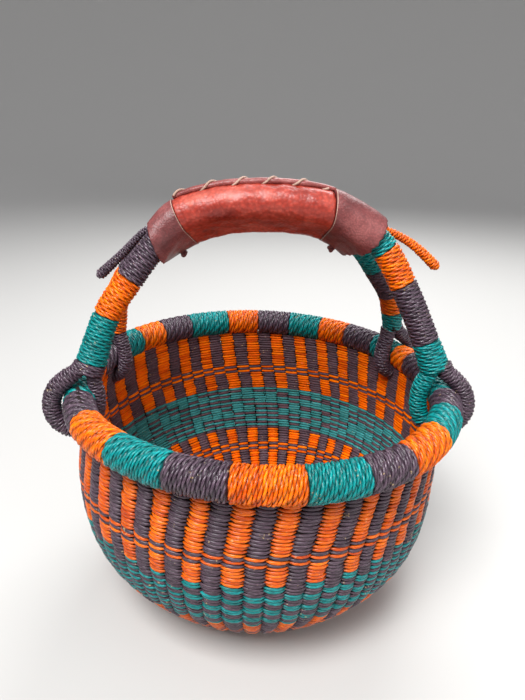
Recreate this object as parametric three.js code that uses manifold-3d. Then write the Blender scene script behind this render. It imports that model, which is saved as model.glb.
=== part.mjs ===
import * as THREE from "three";
import { mergeVertices } from "three/addons/utils/BufferGeometryUtils.js";
import Module from "manifold-3d";

// A small round market basket, twined from dyed straw, with a wrapped rim roll and a
// double-arched handle. The origin is the centre of the flat base and +Z is up. The arches
// run along X. Each of the four handle feet is a loop round the rim roll, through the wall.

const wasm = await Module();
wasm.setup();

// Space between pieces that touch
const gap = 0.3;

// Rim roll
const rimRadius = 118.5; // centre line of the roll
const rimHeight = 147; // centre line above the base
const rollRadius = 10.2; // over the wraps
const rollCoreRadius = 7.2;
const rollWrapThickness = 2.4;
const rimTiltHeight = 3.9; // the left side stands this much high and the right side low
const rimSaddleHeight = 1; // front and back stand this much high and the sides low
const rimSwayWidth = 4.2; // the rim is off the base's centre by this much, towards +X
const swayStartHeight = 90; // height where the wall starts to follow the rim sideways

// Wall and base
const bulgeWidth = 1.8; // the widest place outside stands out this much past the rim's centre
const bodyRadius = rimRadius + bulgeWidth;
const skinThickness = 1.6; // outer face of the weave
const liningThickness = 1.4; // inner face of the weave
const stakeWidth = 5;
const stakeDepth = 1.8;
const hubRadius = 30;
const stakePitchShare = 0.45; // most of the space between stakes that one may fill
const slopeReachHeight = 6; // height over which the wall's slope is read, up and down
const stakeCount = 66;

// Handle
const archRise = 113; // middle of the grip above the rim's centre line
const archCoreRadius = 6;
const legRadius = 8.6; // over the straw wraps
const collarRadius = 9.6; // over the wraps where a leg meets its loop
const rodTilt = 32; // degrees that the pair of rods leans back, front rod highest
const gripSetbackWidth = 6; // middle of the grip behind the rim's centre
const leatherThickness = 1.3;
const cuffThickness = 1.7;
const leatherClearance = 0.6; // slack of the leather over the rods, besides the gap
const cuffFlareWidth = 2; // more slack at the mouth of a cuff
const wrapClearance = 0.5; // slack of the straw wraps over the core
const weltHeight = 3.6; // folded seam along the top of the sleeve

// Loops round the rim
const limbRadius = 5.2;
const loopClearance = 0.5; // each side of the rim roll
const loopDropHeight = 6.2; // lower bend centre under the rim's centre line
const loopLiftHeight = 3; // upper bend centre over it
const crotchHeight = 14; // bend where the two limbs meet
const crotchRadius = 5.4;
const crotchLeanWidth = 5.5; // the crotch leans in over the basket by this much
const rockAngle = 4; // degrees that the handle rocks on the rim

// Ends of straw and of thong
const tailRootRadius = 2.2;
const tailTipRadius = 3.7;
const laceRadius = 0.9;
const knotRadius = 2.3;
const knotInsetLength = 9; // from the end of the sleeve

// Smoothness
const tubeSides = 8;
const archSteps = 22;
const beltSides = 14;
const loopSteps = 18;
const rimSteps = 48;
const ribSides = 3;
const laceSides = 6;
const nearShare = 0.25; // of a route's step: how far off its direction is read

const turn = Math.PI * 2;
const wholeTurn = THREE.MathUtils.radToDeg(turn);
const radians = THREE.MathUtils.degToRad;

const straw = {
  orange: new THREE.MeshStandardMaterial({ color: "#e8620c", roughness: 0.6, metalness: 0 }),
  teal: new THREE.MeshStandardMaterial({ color: "#1c8c80", roughness: 0.6, metalness: 0 }),
  grey: new THREE.MeshStandardMaterial({ color: "#514149", roughness: 0.65, metalness: 0 }),
  natural: new THREE.MeshStandardMaterial({ color: "#c9ad72", roughness: 0.8, metalness: 0 }),
};
const leather = {
  red: new THREE.MeshStandardMaterial({ color: "#9c3b28", roughness: 0.4, metalness: 0 }),
  dark: new THREE.MeshStandardMaterial({ color: "#5c2b2b", roughness: 0.5, metalness: 0 }),
  pale: new THREE.MeshStandardMaterial({ color: "#d8c3a5", roughness: 0.7, metalness: 0 }),
};

// Outside of the wall from the edge of the flat base to the rim: shares of the body's
// radius and of the rim's height
const wallShares = [
  [0.4, 0],
  [0.6, 0.042],
  [0.745, 0.127],
  [0.87, 0.252],
  [0.944, 0.354],
  [0.984, 0.469],
  [1, 0.64],
  [0.979, 0.95],
];
// Heights where one colour of weave ends and the next starts
const tealBottomShare = 0.354;
const tealTopShare = 0.578;

// Colours of the rim's wraps and the angle where each starts, counted from +X
const rimWrapAngles = [
  ["orange", -98],
  ["teal", -79.2],
  ["grey", -62.7],
  ["orange", -49],
  ["teal", -33.5],
  ["grey", -22],
  ["teal", -12.5],
  ["grey", 4],
  ["orange", 20.5],
  ["teal", 33],
  ["grey", 40],
  ["orange", 53.8],
  ["teal", 65.5],
  ["grey", 78.9],
  ["orange", 92.4],
  ["teal", 105.5],
  ["grey", 122],
  ["orange", 135],
  ["teal", 146.5],
  ["grey", 157],
  ["orange", 169],
  ["teal", 184],
  ["grey", 198],
  ["orange", 207.5],
  ["teal", 227.3],
  ["grey", 246.4],
];

// The four loops: where each one hangs on the rim
const loops = {
  front_left: { angle: -165 },
  front_right: { angle: -9 },
  back_left: { angle: 163 },
  back_right: { angle: 30 },
};

// Half the distance between the two loops of one side, as a share of the rim's radius
const loopArmShare = 0.34;

// Each arch leaves its loop, climbs its leg, follows the grip and comes down the other leg.
// Legs: shares of the rim's radius along X and Y, and of the arch's rise. Grip: the middle
// line of the pair of rods, as shares of the rim's radius along X and of the arch's rise.
const legShares = {
  front_left: [
    [-0.8, -0.172, 0.471],
    [-0.679, -0.112, 0.657],
    [-0.565, -0.062, 0.813],
  ],
  front_right: [
    [0.857, -0.13, 0.31],
    [0.727, -0.075, 0.602],
    [0.576, -0.033, 0.85],
  ],
  back_left: [
    [-0.862, 0.239, 0.404],
    [-0.76, 0.189, 0.602],
    [-0.641, 0.148, 0.743],
  ],
  back_right: [
    [0.768, 0.386, 0.41],
    [0.652, 0.292, 0.608],
    [0.506, 0.177, 0.805],
  ],
};
const gripShares = [
  [-0.42, 0.917],
  [-0.24, 0.98],
  [-0.05, 1],
  [0.14, 0.995],
  [0.33, 0.958],
];

// Where the colours change along each arch, as shares of its length from left to right
const archWraps = {
  front: [
    ["front_left_teal_wrap", "teal", 0.004],
    ["front_left_orange_wrap", "orange", 0.094],
    ["front_left_grey_wrap", "grey", 0.177],
    ["front_right_teal_wrap", "teal", 0.5],
    ["front_right_orange_wrap", "orange", 0.752],
    ["front_right_grey_wrap", "grey", 0.828],
    ["front_right_teal_collar", "teal", 0.95],
  ],
  back: [
    ["back_left_orange_wrap", "orange", 0.004],
    ["back_left_grey_wrap", "grey", 0.15],
    ["back_right_teal_wrap", "teal", 0.5],
    ["back_right_grey_wrap", "grey", 0.8],
    ["back_right_orange_wrap", "orange", 0.893],
    ["back_right_teal_collar", "teal", 0.95],
  ],
};
const wrapEndShare = 0.996;
const collarShare = 0.068; // part of an arch over which its collar fades

// Leather along the grip: places along X as shares of the rim's radius
const leftCuffShare = -0.55;
const sleeveLeftShare = -0.41;
const sleeveRightShare = 0.335;
const rightCuffShare = 0.513;
const leftMouthShare = 0.4; // how far the top of a cuff's mouth is set back, for its height
const rightMouthShare = 0.08;
const sleeveSteps = 8;
const cuffSteps = 3;

// Tails: shares of the rim's radius along X and Y, and of the arch's rise
const leftTailShares = [
  [-0.543, 0.05, 0.919],
  [-0.572, 0.05, 0.894],
  [-0.616, 0.05, 0.88],
  [-0.755, 0.07, 0.745],
  [-0.907, 0.084, 0.602],
];
const rightTailShares = [
  [0.535, 0.068, 0.924],
  [0.565, 0.068, 0.901],
  [0.636, 0.066, 0.888],
  [0.78, 0.084, 0.812],
  [0.935, 0.084, 0.675],
];

const tailRingShares = [0, 0.2, 0.4, 0.6, 0.8, 0.94, 1];
const tailEndShare = 0.6; // size of the last ring of a tail

// Joins rings of points into one closed surface: round the list when it is looped, and
// otherwise with a fan over the first and the last ring.
function loft(rings, looped) {
  const count = rings[0].length;
  const places = rings.flatMap((ring) => ring.flatMap((p) => [p.x, p.y, p.z]));
  const faces = [];
  const spans = looped ? rings.length : rings.length - 1;
  for (let i = 0; i < spans; i += 1) {
    const near = i * count;
    const far = ((i + 1) % rings.length) * count;
    for (let j = 0; j < count; j += 1) {
      const next = (j + 1) % count;
      faces.push(...patch(places, near + j, near + next, far + next, far + j));
    }
  }
  if (!looped) {
    capRing(rings[0], 0, places, faces, true);
    capRing(rings[rings.length - 1], (rings.length - 1) * count, places, faces, false);
  }
  return facingOut(places, faces);
}

// Two triangles over four corners, split along the shorter diagonal
function patch(places, a, b, c, d) {
  const corner = (i) => new THREE.Vector3().fromArray(places, 3 * i);
  const straight = corner(a).distanceTo(corner(c)) <= corner(b).distanceTo(corner(d));
  return straight ? [a, b, c, a, c, d] : [a, b, d, b, c, d];
}

// Closes a ring with a fan from its middle
function capRing(ring, first, places, faces, reversed) {
  const middle = new THREE.Vector3();
  ring.forEach((p) => middle.add(p));
  middle.divideScalar(ring.length);
  const centre = places.length / 3;
  places.push(middle.x, middle.y, middle.z);
  ring.forEach((p, j) => {
    const a = first + j;
    const b = first + ((j + 1) % ring.length);
    faces.push(...(reversed ? [centre, b, a] : [centre, a, b]));
  });
}

// A geometry of the given faces, turned round if they enclose a negative volume
function facingOut(places, faces) {
  const corner = (i) => new THREE.Vector3().fromArray(places, 3 * i);
  let volume = 0;
  for (let i = 0; i < faces.length; i += 3) {
    const cross = corner(faces[i + 1]).cross(corner(faces[i + 2]));
    volume += corner(faces[i]).dot(cross);
  }
  const index = volume < 0 ? [...faces].reverse() : faces;
  const geometry = new THREE.BufferGeometry();
  geometry.setAttribute("position", new THREE.Float32BufferAttribute(places, 3));
  geometry.setIndex(index);
  return geometry;
}

// Solids for cutting
function toSolid(geometry) {
  const bare = new THREE.BufferGeometry();
  const flat = geometry.index ? geometry.toNonIndexed() : geometry;
  bare.setAttribute("position", flat.getAttribute("position"));
  const merged = mergeVertices(bare);
  const mesh = new wasm.Mesh({
    numProp: 3,
    vertProperties: new Float32Array(merged.attributes.position.array),
    triVerts: new Uint32Array(merged.index.array),
  });
  return new wasm.Manifold(mesh);
}

function toGeometry(solid) {
  const mesh = solid.getMesh();
  const geometry = new THREE.BufferGeometry();
  geometry.setAttribute("position", new THREE.BufferAttribute(mesh.vertProperties, 3));
  geometry.setIndex(new THREE.BufferAttribute(mesh.triVerts, 1));
  return geometry;
}

function cut(geometry, cutters) {
  return toGeometry(cutters.reduce((left, tool) => left.subtract(tool), toSolid(geometry)));
}

// The lean of the hand-made body: sideways near the rim, and up or down with the height
function settle(point) {
  const share = THREE.MathUtils.clamp(point.z / rimHeight, 0, 1);
  const lean = (-rimTiltHeight * point.x) / rimRadius;
  const sag = (rimSaddleHeight * (point.y ** 2 - point.x ** 2)) / rimRadius ** 2;
  const sway = rimSwayWidth * THREE.MathUtils.smoothstep(point.z, swayStartHeight, rimHeight);
  return new THREE.Vector3(point.x + sway, point.y, point.z + (lean + sag) * share);
}

const settled = (rings) => rings.map((ring) => ring.map(settle));

// A point at a radius, an angle and a height
function around(radius, angle, height) {
  return new THREE.Vector3(radius * Math.cos(angle), radius * Math.sin(angle), height);
}

// Shape of the wall
const wallRows = wallShares.map(([r, z]) => [r * bodyRadius, z * rimHeight]);
const tealBottom = tealBottomShare * rimHeight;
const tealTop = tealTopShare * rimHeight;
const wallTop = rimHeight - rollRadius - gap;

function wallRadius(height) {
  const above = wallRows.findIndex((row) => row[1] > height);
  const last = above < 1 ? wallRows.length - 1 : above;
  const [r0, z0] = wallRows[last - 1];
  const [r1, z1] = wallRows[last];
  return r0 + ((r1 - r0) * (height - z0)) / (z1 - z0);
}

// Rows of the wall between two heights, with the ends made exact
function rowsBetween(low, high) {
  const inner = wallRows.filter((row) => row[1] > low + gap && row[1] < high - gap);
  return [[wallRadius(low), low], ...inner, [wallRadius(high), high]];
}

// Rows moved in from the outside by a depth, square to the wall
function inset(rows, depth) {
  return rows.map(([r, z]) => {
    if (z === 0) return [r - depth / 2, z + depth];
    const below = Math.max(z - slopeReachHeight, 0);
    const rise = z + slopeReachHeight - below;
    const run = wallRadius(z + slopeReachHeight) - wallRadius(below);
    const slant = Math.hypot(rise, run);
    return [r - (depth * rise) / slant, z + (depth * run) / slant];
  });
}

function wallRing([radius, height], count) {
  return Array.from({ length: count }, (_, k) => around(radius, (k * turn) / count, height));
}

// A band of weave: out along its face and back along its lining side
function band(low, high, from, depth, count) {
  const rows = rowsBetween(low, high);
  const face = inset(rows, from).map((row) => wallRing(row, count));
  const back = inset(rows, from + depth).map((row) => wallRing(row, count));
  return loft(settled([...face, ...back.reverse()]), true);
}

// A dish of weave: the flat base and the wall above it
function dish(high, from, depth, count) {
  const rows = rowsBetween(0, high);
  const face = inset(rows, from).map((row) => wallRing(row, count));
  const back = inset(rows, from + depth).map((row) => wallRing(row, count));
  return loft(settled([...face, ...back.reverse()]), false);
}

// The notch under the rim where each loop comes through the wall
const loopHalfWidth = rollRadius + loopClearance + limbRadius;
const loopFoot = loopDropHeight + loopHalfWidth + limbRadius;
const rockShift = loopFoot * Math.sin(radians(rockAngle));
const notchWidth = 2 * (limbRadius + rockShift + gap);
const footTravel = loopArmShare * rimRadius * Math.sin(radians(rockAngle));
const notchDepth = loopFoot + footTravel + gap;

function rimPoint(angle) {
  return settle(around(rimRadius, angle, rimHeight));
}

function notches() {
  return Object.values(loops).map(({ angle }) => {
    const at = rimPoint(radians(angle));
    const box = new THREE.BoxGeometry(2 * loopHalfWidth, notchWidth, notchDepth);
    box.rotateZ(radians(angle));
    box.translate(at.x, at.y, at.z - notchDepth / 2);
    return toSolid(box);
  });
}

// A stake: a rib from the hub up the wall, under the middle of one facet of the weave
const facetShare = Math.cos(turn / 2 / stakeCount);
const stakeInset = skinThickness + gap;
const liningInset = stakeInset + stakeDepth + gap;

function stakeRings(number) {
  const angle = ((number + 0.5) * turn) / stakeCount;
  const rows = [[hubRadius, 0], ...rowsBetween(0, wallTop)];
  const faces = inset(rows, stakeInset);
  const backs = inset(rows, stakeInset + stakeDepth);
  return rows.map((row, j) => {
    const [radius, height] = faces[j];
    const width = Math.min(stakeWidth, (stakePitchShare * turn * radius) / stakeCount);
    const half = Math.atan(width / 2 / radius);
    const reach = (radius * facetShare) / Math.cos(half);
    return [
      around(reach, angle - half, height),
      around(reach, angle + half, height),
      around(backs[j][0] * facetShare, angle, backs[j][1]),
    ].map(settle);
  });
}

// The stakes and their hub as one surface: the root of each stake opens into the hub's edge
function stakes() {
  const places = [];
  const faces = [];
  const push = (p) => places.push(p.x, p.y, p.z);
  const ringsOf = Array.from({ length: stakeCount }, (_, k) => stakeRings(k));
  const size = ribSides * ringsOf[0].length;
  ringsOf.flat(2).forEach(push);
  const under = stakeCount * size;
  const over = under + 1;
  push(around(0, 0, stakeInset));
  push(around(0, 0, stakeInset + stakeDepth));
  ringsOf.forEach((rings, k) => {
    const root = k * size;
    const next = ((k + 1) % stakeCount) * size;
    for (let row = 0; row + ribSides < size; row += ribSides) {
      for (let side = 0; side < ribSides; side += 1) {
        const a = root + row + side;
        const b = root + row + ((side + 1) % ribSides);
        faces.push(...patch(places, a, b, b + ribSides, a + ribSides));
      }
    }
    const tip = root + size - ribSides;
    faces.push(tip, tip + 1, tip + 2);
    faces.push(root, under, root + 1);
    faces.push(root + 1, under, next);
    faces.push(root + 2, next + 2, over);
    faces.push(root + 1, next, next + 2, root + 1, next + 2, root + 2);
  });
  return facingOut(places, faces);
}

// The rim: a round of straw inside, and a wrap for each colour
function rollRing(radius, angle) {
  return Array.from({ length: tubeSides }, (_, k) => {
    const section = (k * turn) / tubeSides;
    const reach = rimRadius + radius * Math.cos(section);
    return settle(around(reach, angle, rimHeight + radius * Math.sin(section)));
  });
}

function rimCore() {
  return loft(
    Array.from({ length: rimSteps }, (_, k) => rollRing(rollCoreRadius, (k * turn) / rimSteps)),
    true,
  );
}

function rimWrap(start, end) {
  const steps = Math.max(1, Math.round(((end - start) * rimSteps) / wholeTurn));
  const margin = gap / 2 / rimRadius;
  const from = radians(start) + margin;
  const reach = radians(end) - margin - from;
  const angles = Array.from({ length: steps + 1 }, (_, k) => from + (reach * k) / steps);
  const face = angles.map((angle) => rollRing(rollRadius, angle));
  const back = angles.map((angle) => rollRing(rollRadius - rollWrapThickness, angle));
  return loft([...face, ...back.reverse()], true);
}

// A loop: the belt round its two wide bends and its crotch, in the upright plane that the
// rim's radius lies in. The limb is an even tube along that belt.
function loopBends() {
  return [
    { out: 0, rise: -loopDropHeight, radius: loopHalfWidth },
    { out: 0, rise: loopLiftHeight, radius: loopHalfWidth },
    { out: -crotchLeanWidth, rise: crotchHeight, radius: crotchRadius },
  ];
}

function loopPlace(angle, out, rise) {
  const at = rimPoint(angle);
  return new THREE.Vector3(
    at.x + out * Math.cos(angle),
    at.y + out * Math.sin(angle),
    at.z + rise,
  );
}

function loopGeometry(angle) {
  const bends = loopBends();
  const side = around(1, angle + turn / 4, 0);
  const rings = Array.from({ length: loopSteps }, (_, k) => {
    const bearing = ((k + 0.5) * turn) / loopSteps;
    const reach = (b) => b.out * Math.cos(bearing) + b.rise * Math.sin(bearing) + b.radius;
    const bend = bends.reduce((best, b) => (reach(b) > reach(best) ? b : best));
    const out = bend.out + bend.radius * Math.cos(bearing);
    const rise = bend.rise + bend.radius * Math.sin(bearing);
    return Array.from({ length: tubeSides }, (_, j) => {
      const section = (j * turn) / tubeSides;
      const swell = limbRadius * Math.cos(section);
      return loopPlace(
        angle,
        out + swell * Math.cos(bearing),
        rise + swell * Math.sin(bearing),
      ).addScaledVector(side, limbRadius * Math.sin(section));
    });
  });
  return loft(rings, true);
}

// The foot of a leg: just clear of the crotch of its loop, on the way up the leg
function legFoot(name) {
  const crotch = loopPlace(radians(loops[name].angle), -crotchLeanWidth, crotchHeight);
  const along = fromRim(legShares[name][0]).sub(crotch).normalize();
  return crotch.addScaledVector(along, crotchRadius + limbRadius + 2 * gap);
}

function fromRim([x, y, z]) {
  return new THREE.Vector3(x * rimRadius + rimSwayWidth, y * rimRadius, rimHeight + z * archRise);
}

// The grip's two rods lie side by side, square to the middle line of the grip
function gripPoint(row, side) {
  const [x, z] = gripShares[row];
  const before = gripShares[Math.max(row - 1, 0)];
  const after = gripShares[Math.min(row + 1, gripShares.length - 1)];
  const along = new THREE.Vector3(
    (after[0] - before[0]) * rimRadius,
    0,
    (after[1] - before[1]) * archRise,
  ).normalize();
  const square = new THREE.Vector3(-along.z, 0, along.x);
  const half = legRadius + gap / 2;
  const place = fromRim([x, 0, z]);
  place.y += gripSetbackWidth - side * half * Math.cos(radians(rodTilt));
  return place.addScaledVector(square, side * half * Math.sin(radians(rodTilt)));
}

function archCurve(name, side) {
  const left = name + "_left";
  const right = name + "_right";
  return new THREE.CatmullRomCurve3(
    [
      legFoot(left),
      ...legShares[left].map(fromRim),
      ...gripShares.map((_, row) => gripPoint(row, side)),
      ...[...legShares[right]].reverse().map(fromRim),
      legFoot(right),
    ],
    false,
    "centripetal",
  );
}

// A route: evenly spaced stations along a curve, each with its share of the length
function routeOf(curve) {
  return Array.from({ length: archSteps + 1 }, (_, k) => ({
    share: k / archSteps,
    at: curve.getPointAt(k / archSteps),
  }));
}

function routePlace(route, share) {
  const spot = share * (route.length - 1);
  const from = Math.min(Math.floor(spot), route.length - 2);
  return route[from].at.clone().lerp(route[from + 1].at, spot - from);
}

function routeSlice(route, from, to) {
  const margin = nearShare / archSteps;
  const inner = route.filter((s) => s.share > from + margin && s.share < to - margin);
  return [from, ...inner.map((s) => s.share), to];
}

// A round section of a route, square to it
function routeRing(route, share, radius, sides) {
  const step = nearShare / archSteps;
  const at = routePlace(route, share);
  const before = routePlace(route, Math.max(share - step, 0));
  const along = routePlace(route, Math.min(share + step, 1)).sub(before).normalize();
  const across = new THREE.Vector3(0, 1, 0).cross(along).normalize();
  const deep = along.clone().cross(across);
  return Array.from({ length: sides }, (_, k) => {
    const angle = (k * turn) / sides;
    return at
      .clone()
      .addScaledVector(across, radius * Math.cos(angle))
      .addScaledVector(deep, radius * Math.sin(angle));
  });
}

function archCore(route) {
  const shares = route.map((s) => s.share);
  return loft(
    shares.map((share) => routeRing(route, share, archCoreRadius, tubeSides)),
    false,
  );
}

// Over the feet of a leg the wrap swells out to a collar
function wrapRadius(share) {
  const foot = Math.min(share, 1 - share);
  const swell = 1 - THREE.MathUtils.smoothstep(foot, 0, collarShare);
  return legRadius + (collarRadius - legRadius) * swell;
}

function archWrap(route, from, to) {
  const shares = routeSlice(route, from, to);
  const bore = archCoreRadius + wrapClearance;
  const face = shares.map((share) => routeRing(route, share, wrapRadius(share), tubeSides));
  const back = shares.map((share) => routeRing(route, share, bore, tubeSides));
  return loft([...face, ...back.reverse()], true);
}

// Where a route passes a place along X
function shareAt(route, x) {
  const after = route.findIndex((s) => s.at.x > x);
  const a = route[after - 1];
  const b = route[after];
  return (after - 1 + (x - a.at.x) / (b.at.x - a.at.x)) / (route.length - 1);
}

// A section of leather at one place along X: a belt round both rods, with the welt raised.
// The lean carries the top of the section along the grip and its bottom the other way.
const weltSide = beltSides - 3;

function beltRing({ rods, x, depth, welt, lean }) {
  const shares = rods.map((route) => shareAt(route, x));
  const [front, back] = rods.map((route, i) => routePlace(route, shares[i]));
  const step = nearShare / archSteps;
  const along = new THREE.Vector3();
  rods.forEach((route, i) => {
    along.add(routePlace(route, shares[i] + step)).sub(routePlace(route, shares[i] - step));
  });
  along.normalize();
  const middle = front.clone().add(back).multiplyScalar(0.5);
  const across = front.clone().sub(back);
  across.addScaledVector(along, -across.dot(along)).normalize();
  const high = across.clone().cross(along);
  const radius = (legRadius + gap) / Math.cos(turn / 2 / beltSides);
  return Array.from({ length: beltSides }, (_, k) => {
    const angle = ((k + 0.5) * turn) / beltSides;
    const way = across.clone().multiplyScalar(Math.cos(angle));
    way.addScaledVector(high, -Math.sin(angle));
    const rod = Math.cos(angle) > 0 ? front : back;
    const place = rod.clone().addScaledVector(way, radius + depth);
    if (k === weltSide) place.addScaledVector(way, welt);
    const offset = place.clone().sub(middle);
    return place.addScaledVector(along, lean * offset.dot(high) - offset.dot(along));
  });
}

function spread(from, to, steps) {
  return Array.from({ length: steps + 1 }, (_, k) => from + ((to - from) * k) / steps);
}

// Leather round the rods between two places along X. Towards its end it is looser by the
// flare, and its top is set back by the share of its height.
function leatherTube({ rods, from, to, steps, thickness, flare, welt, mouth }) {
  const ring = (x, k, wall, raised) => {
    const depth = leatherClearance + (flare * k) / steps + wall;
    const lean = (Math.sign(from - to) * mouth * k) / steps;
    return beltRing({ rods, x, depth, welt: raised, lean });
  };
  const places = spread(from, to, steps);
  const face = places.map((x, k) => ring(x, k, thickness, welt));
  const back = places.map((x, k) => ring(x, k, 0, 0));
  return loft([...face, ...back.reverse()], true);
}

// A tapered end of wrapped straw, rounded off at its tip
function tail(route) {
  const radius = (share) => tailRootRadius + (tailTipRadius - tailRootRadius) * share;
  return loft(
    tailRingShares.map((share) => {
      const size = share < 1 ? 1 : tailEndShare;
      return routeRing(route, share, size * radius(share), tubeSides);
    }),
    false,
  );
}

// The lace runs along the top of the welt
function lacing(rods, from, to) {
  const depth = leatherClearance + leatherThickness + laceRadius + gap;
  const path = spread(from, to, sleeveSteps).map((x) => {
    return beltRing({ rods, x, depth, welt: weltHeight, lean: 0 })[weltSide];
  });
  const route = routeOf(new THREE.CatmullRomCurve3(path));
  return loft(
    spread(0, 1, sleeveSteps).map((share) => routeRing(route, share, laceRadius, laceSides)),
    false,
  );
}

// A knot of thong that hangs from the lowest point of the leather
function knot(rods, end, mouth) {
  const x = end + Math.sign(mouth - end) * knotInsetLength;
  const share = (x - end) / (mouth - end);
  const depth = leatherClearance + cuffThickness + cuffFlareWidth * share;
  const ring = beltRing({ rods, x, depth, welt: 0, lean: 0 });
  const lowest = ring.reduce((best, p) => (p.z < best.z ? p : best));
  const geometry = new THREE.SphereGeometry(knotRadius, tubeSides, laceSides);
  geometry.rotateX(turn / 4);
  geometry.translate(lowest.x, lowest.y, lowest.z - knotRadius - gap);
  return geometry;
}

const basket = new THREE.Group();

function add(name, geometry, material) {
  const mesh = new THREE.Mesh(geometry, material);
  mesh.name = name;
  basket.add(mesh);
}

function addBody() {
  const cutters = notches();
  const lining = stakeCount / 2;
  add("stakes", cut(stakes(), cutters), straw.natural);
  add("base_outer_weave", dish(tealBottom - gap / 2, 0, skinThickness, stakeCount), straw.orange);
  add(
    "teal_outer_weave",
    band(tealBottom + gap / 2, tealTop - gap / 2, 0, skinThickness, stakeCount),
    straw.teal,
  );
  const upper = band(tealTop + gap / 2, wallTop, 0, skinThickness, stakeCount);
  add("upper_outer_weave", cut(upper, cutters), straw.orange);
  add(
    "base_inner_weave",
    dish(tealBottom - gap / 2, liningInset, liningThickness, lining),
    straw.orange,
  );
  const inner = band(tealBottom + gap / 2, wallTop, liningInset, liningThickness, lining);
  add("wall_inner_weave", cut(inner, cutters), straw.grey);
}

function addRim() {
  add("rim_core", rimCore(), straw.natural);
  const ends = [...rimWrapAngles.slice(1).map((wrap) => wrap[1]), rimWrapAngles[0][1] + wholeTurn];
  rimWrapAngles.forEach(([color, start], k) => {
    const number = String(k + 1).padStart(2, "0");
    add("rim_wrap_" + number + "_" + color, rimWrap(start, ends[k]), straw[color]);
  });
}

function addHandle() {
  Object.entries(loops).forEach(([name, { angle }]) => {
    add(name + "_loop", loopGeometry(radians(angle)), straw.grey);
  });
  const routes = [
    ["front", 1],
    ["back", -1],
  ].map(([name, side]) => {
    const route = routeOf(archCurve(name, side));
    add(name + "_arch_core", archCore(route), straw.natural);
    const wraps = archWraps[name];
    const margin = gap / 2 / (2 * archRise);
    wraps.forEach(([wrapName, color, from], k) => {
      const to = k + 1 < wraps.length ? wraps[k + 1][2] : wrapEndShare;
      add(wrapName, archWrap(route, from + margin, to - margin), straw[color]);
    });
    return route;
  });
  addLeather(routes);
}

function addLeather(rods) {
  const along = (share) => share * rimRadius + rimSwayWidth;
  const left = along(sleeveLeftShare);
  const right = along(sleeveRightShare);
  const tails = [leftTailShares, rightTailShares].map((shares) => {
    return routeOf(new THREE.CatmullRomCurve3(shares.map(fromRim)));
  });
  const sleeve = {
    rods,
    from: left,
    to: right,
    steps: sleeveSteps,
    thickness: leatherThickness,
    flare: 0,
    welt: weltHeight,
    mouth: 0,
  };
  const cuff = { rods, steps: cuffSteps, thickness: cuffThickness, flare: cuffFlareWidth, welt: 0 };
  const leftEnds = { from: left - gap, to: along(leftCuffShare), mouth: leftMouthShare };
  const rightEnds = { from: right + gap, to: along(rightCuffShare), mouth: rightMouthShare };
  add("leather_sleeve", leatherTube(sleeve), leather.red);
  add("left_cuff", leatherTube({ ...cuff, ...leftEnds }), leather.dark);
  add("right_cuff", leatherTube({ ...cuff, ...rightEnds }), leather.dark);
  add("seam_lacing", lacing(rods, left, right), leather.pale);
  add("left_tail", tail(tails[0]), straw.grey);
  add("right_tail", tail(tails[1]), straw.orange);
  add("left_thong_end", knot(rods, left, leftEnds.to), leather.dark);
  add("right_thong_end", knot(rods, right, rightEnds.to), leather.dark);
}

addBody();
addRim();
addHandle();

export default basket;
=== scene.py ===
import math
from typing import NamedTuple

import bpy
import numpy as np
from mathutils import Matrix, Vector, noise


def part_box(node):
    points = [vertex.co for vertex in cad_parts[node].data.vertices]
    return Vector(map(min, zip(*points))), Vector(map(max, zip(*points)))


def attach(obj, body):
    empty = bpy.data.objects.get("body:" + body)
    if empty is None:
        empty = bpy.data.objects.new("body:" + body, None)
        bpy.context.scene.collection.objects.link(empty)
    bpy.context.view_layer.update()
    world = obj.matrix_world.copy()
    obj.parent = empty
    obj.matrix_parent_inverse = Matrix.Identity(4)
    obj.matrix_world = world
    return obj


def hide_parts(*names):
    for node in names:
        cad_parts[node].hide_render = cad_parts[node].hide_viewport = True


# Looks of a small twined basket. Lengths are in millimetres up to the floor, the lights and
# the camera, which are in metres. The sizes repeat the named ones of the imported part.

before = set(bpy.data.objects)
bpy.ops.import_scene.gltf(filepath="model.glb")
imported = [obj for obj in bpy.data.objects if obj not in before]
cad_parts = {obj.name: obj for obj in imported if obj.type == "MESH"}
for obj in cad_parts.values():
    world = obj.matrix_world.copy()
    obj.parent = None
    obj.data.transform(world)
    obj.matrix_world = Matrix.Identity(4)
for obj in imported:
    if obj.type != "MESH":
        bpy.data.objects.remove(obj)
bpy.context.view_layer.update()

MM = 0.001
TURN = 2 * math.pi

RIM_RADIUS = 118.5
RIM_HEIGHT = 147
ROLL_RADIUS = 10.2
RIM_TILT = 3.9
RIM_SADDLE = 1
RIM_SWAY = 4.2
SWAY_START = 90
# Places where the rim rises or dips: an angle in degrees, a height and a width in degrees
RIM_BUMPS = [(-22, 2.4, 24), (203, -2.8, 20)]
ARCH_RISE = 113
LEG_RADIUS = 8.6
LIMB_RADIUS = 5.2
GAP = 0.3
STAKES = 66


class Loop(NamedTuple):
    """A loop of the handle, which goes round the rim roll and through the wall. A pair holds
    the outer limb's value and the inner limb's."""

    angle: float  # where it stands on the rim, in degrees
    hole: float  # the height of its hole in the wall
    squeeze: float  # how far it draws the roll in
    foot_reach: float  # how far the windings of its leg run down past the end of the leg
    foot_radius: float  # how thick they are there
    out: tuple  # how far the limbs lie outwards of the loop's path
    limbs: tuple  # how thick the limbs are
    drop: tuple  # how low the limbs hang, for that path
    colors: tuple = (("grey", 0.0, 1.0),)  # from where to where, in shares of the path


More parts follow.
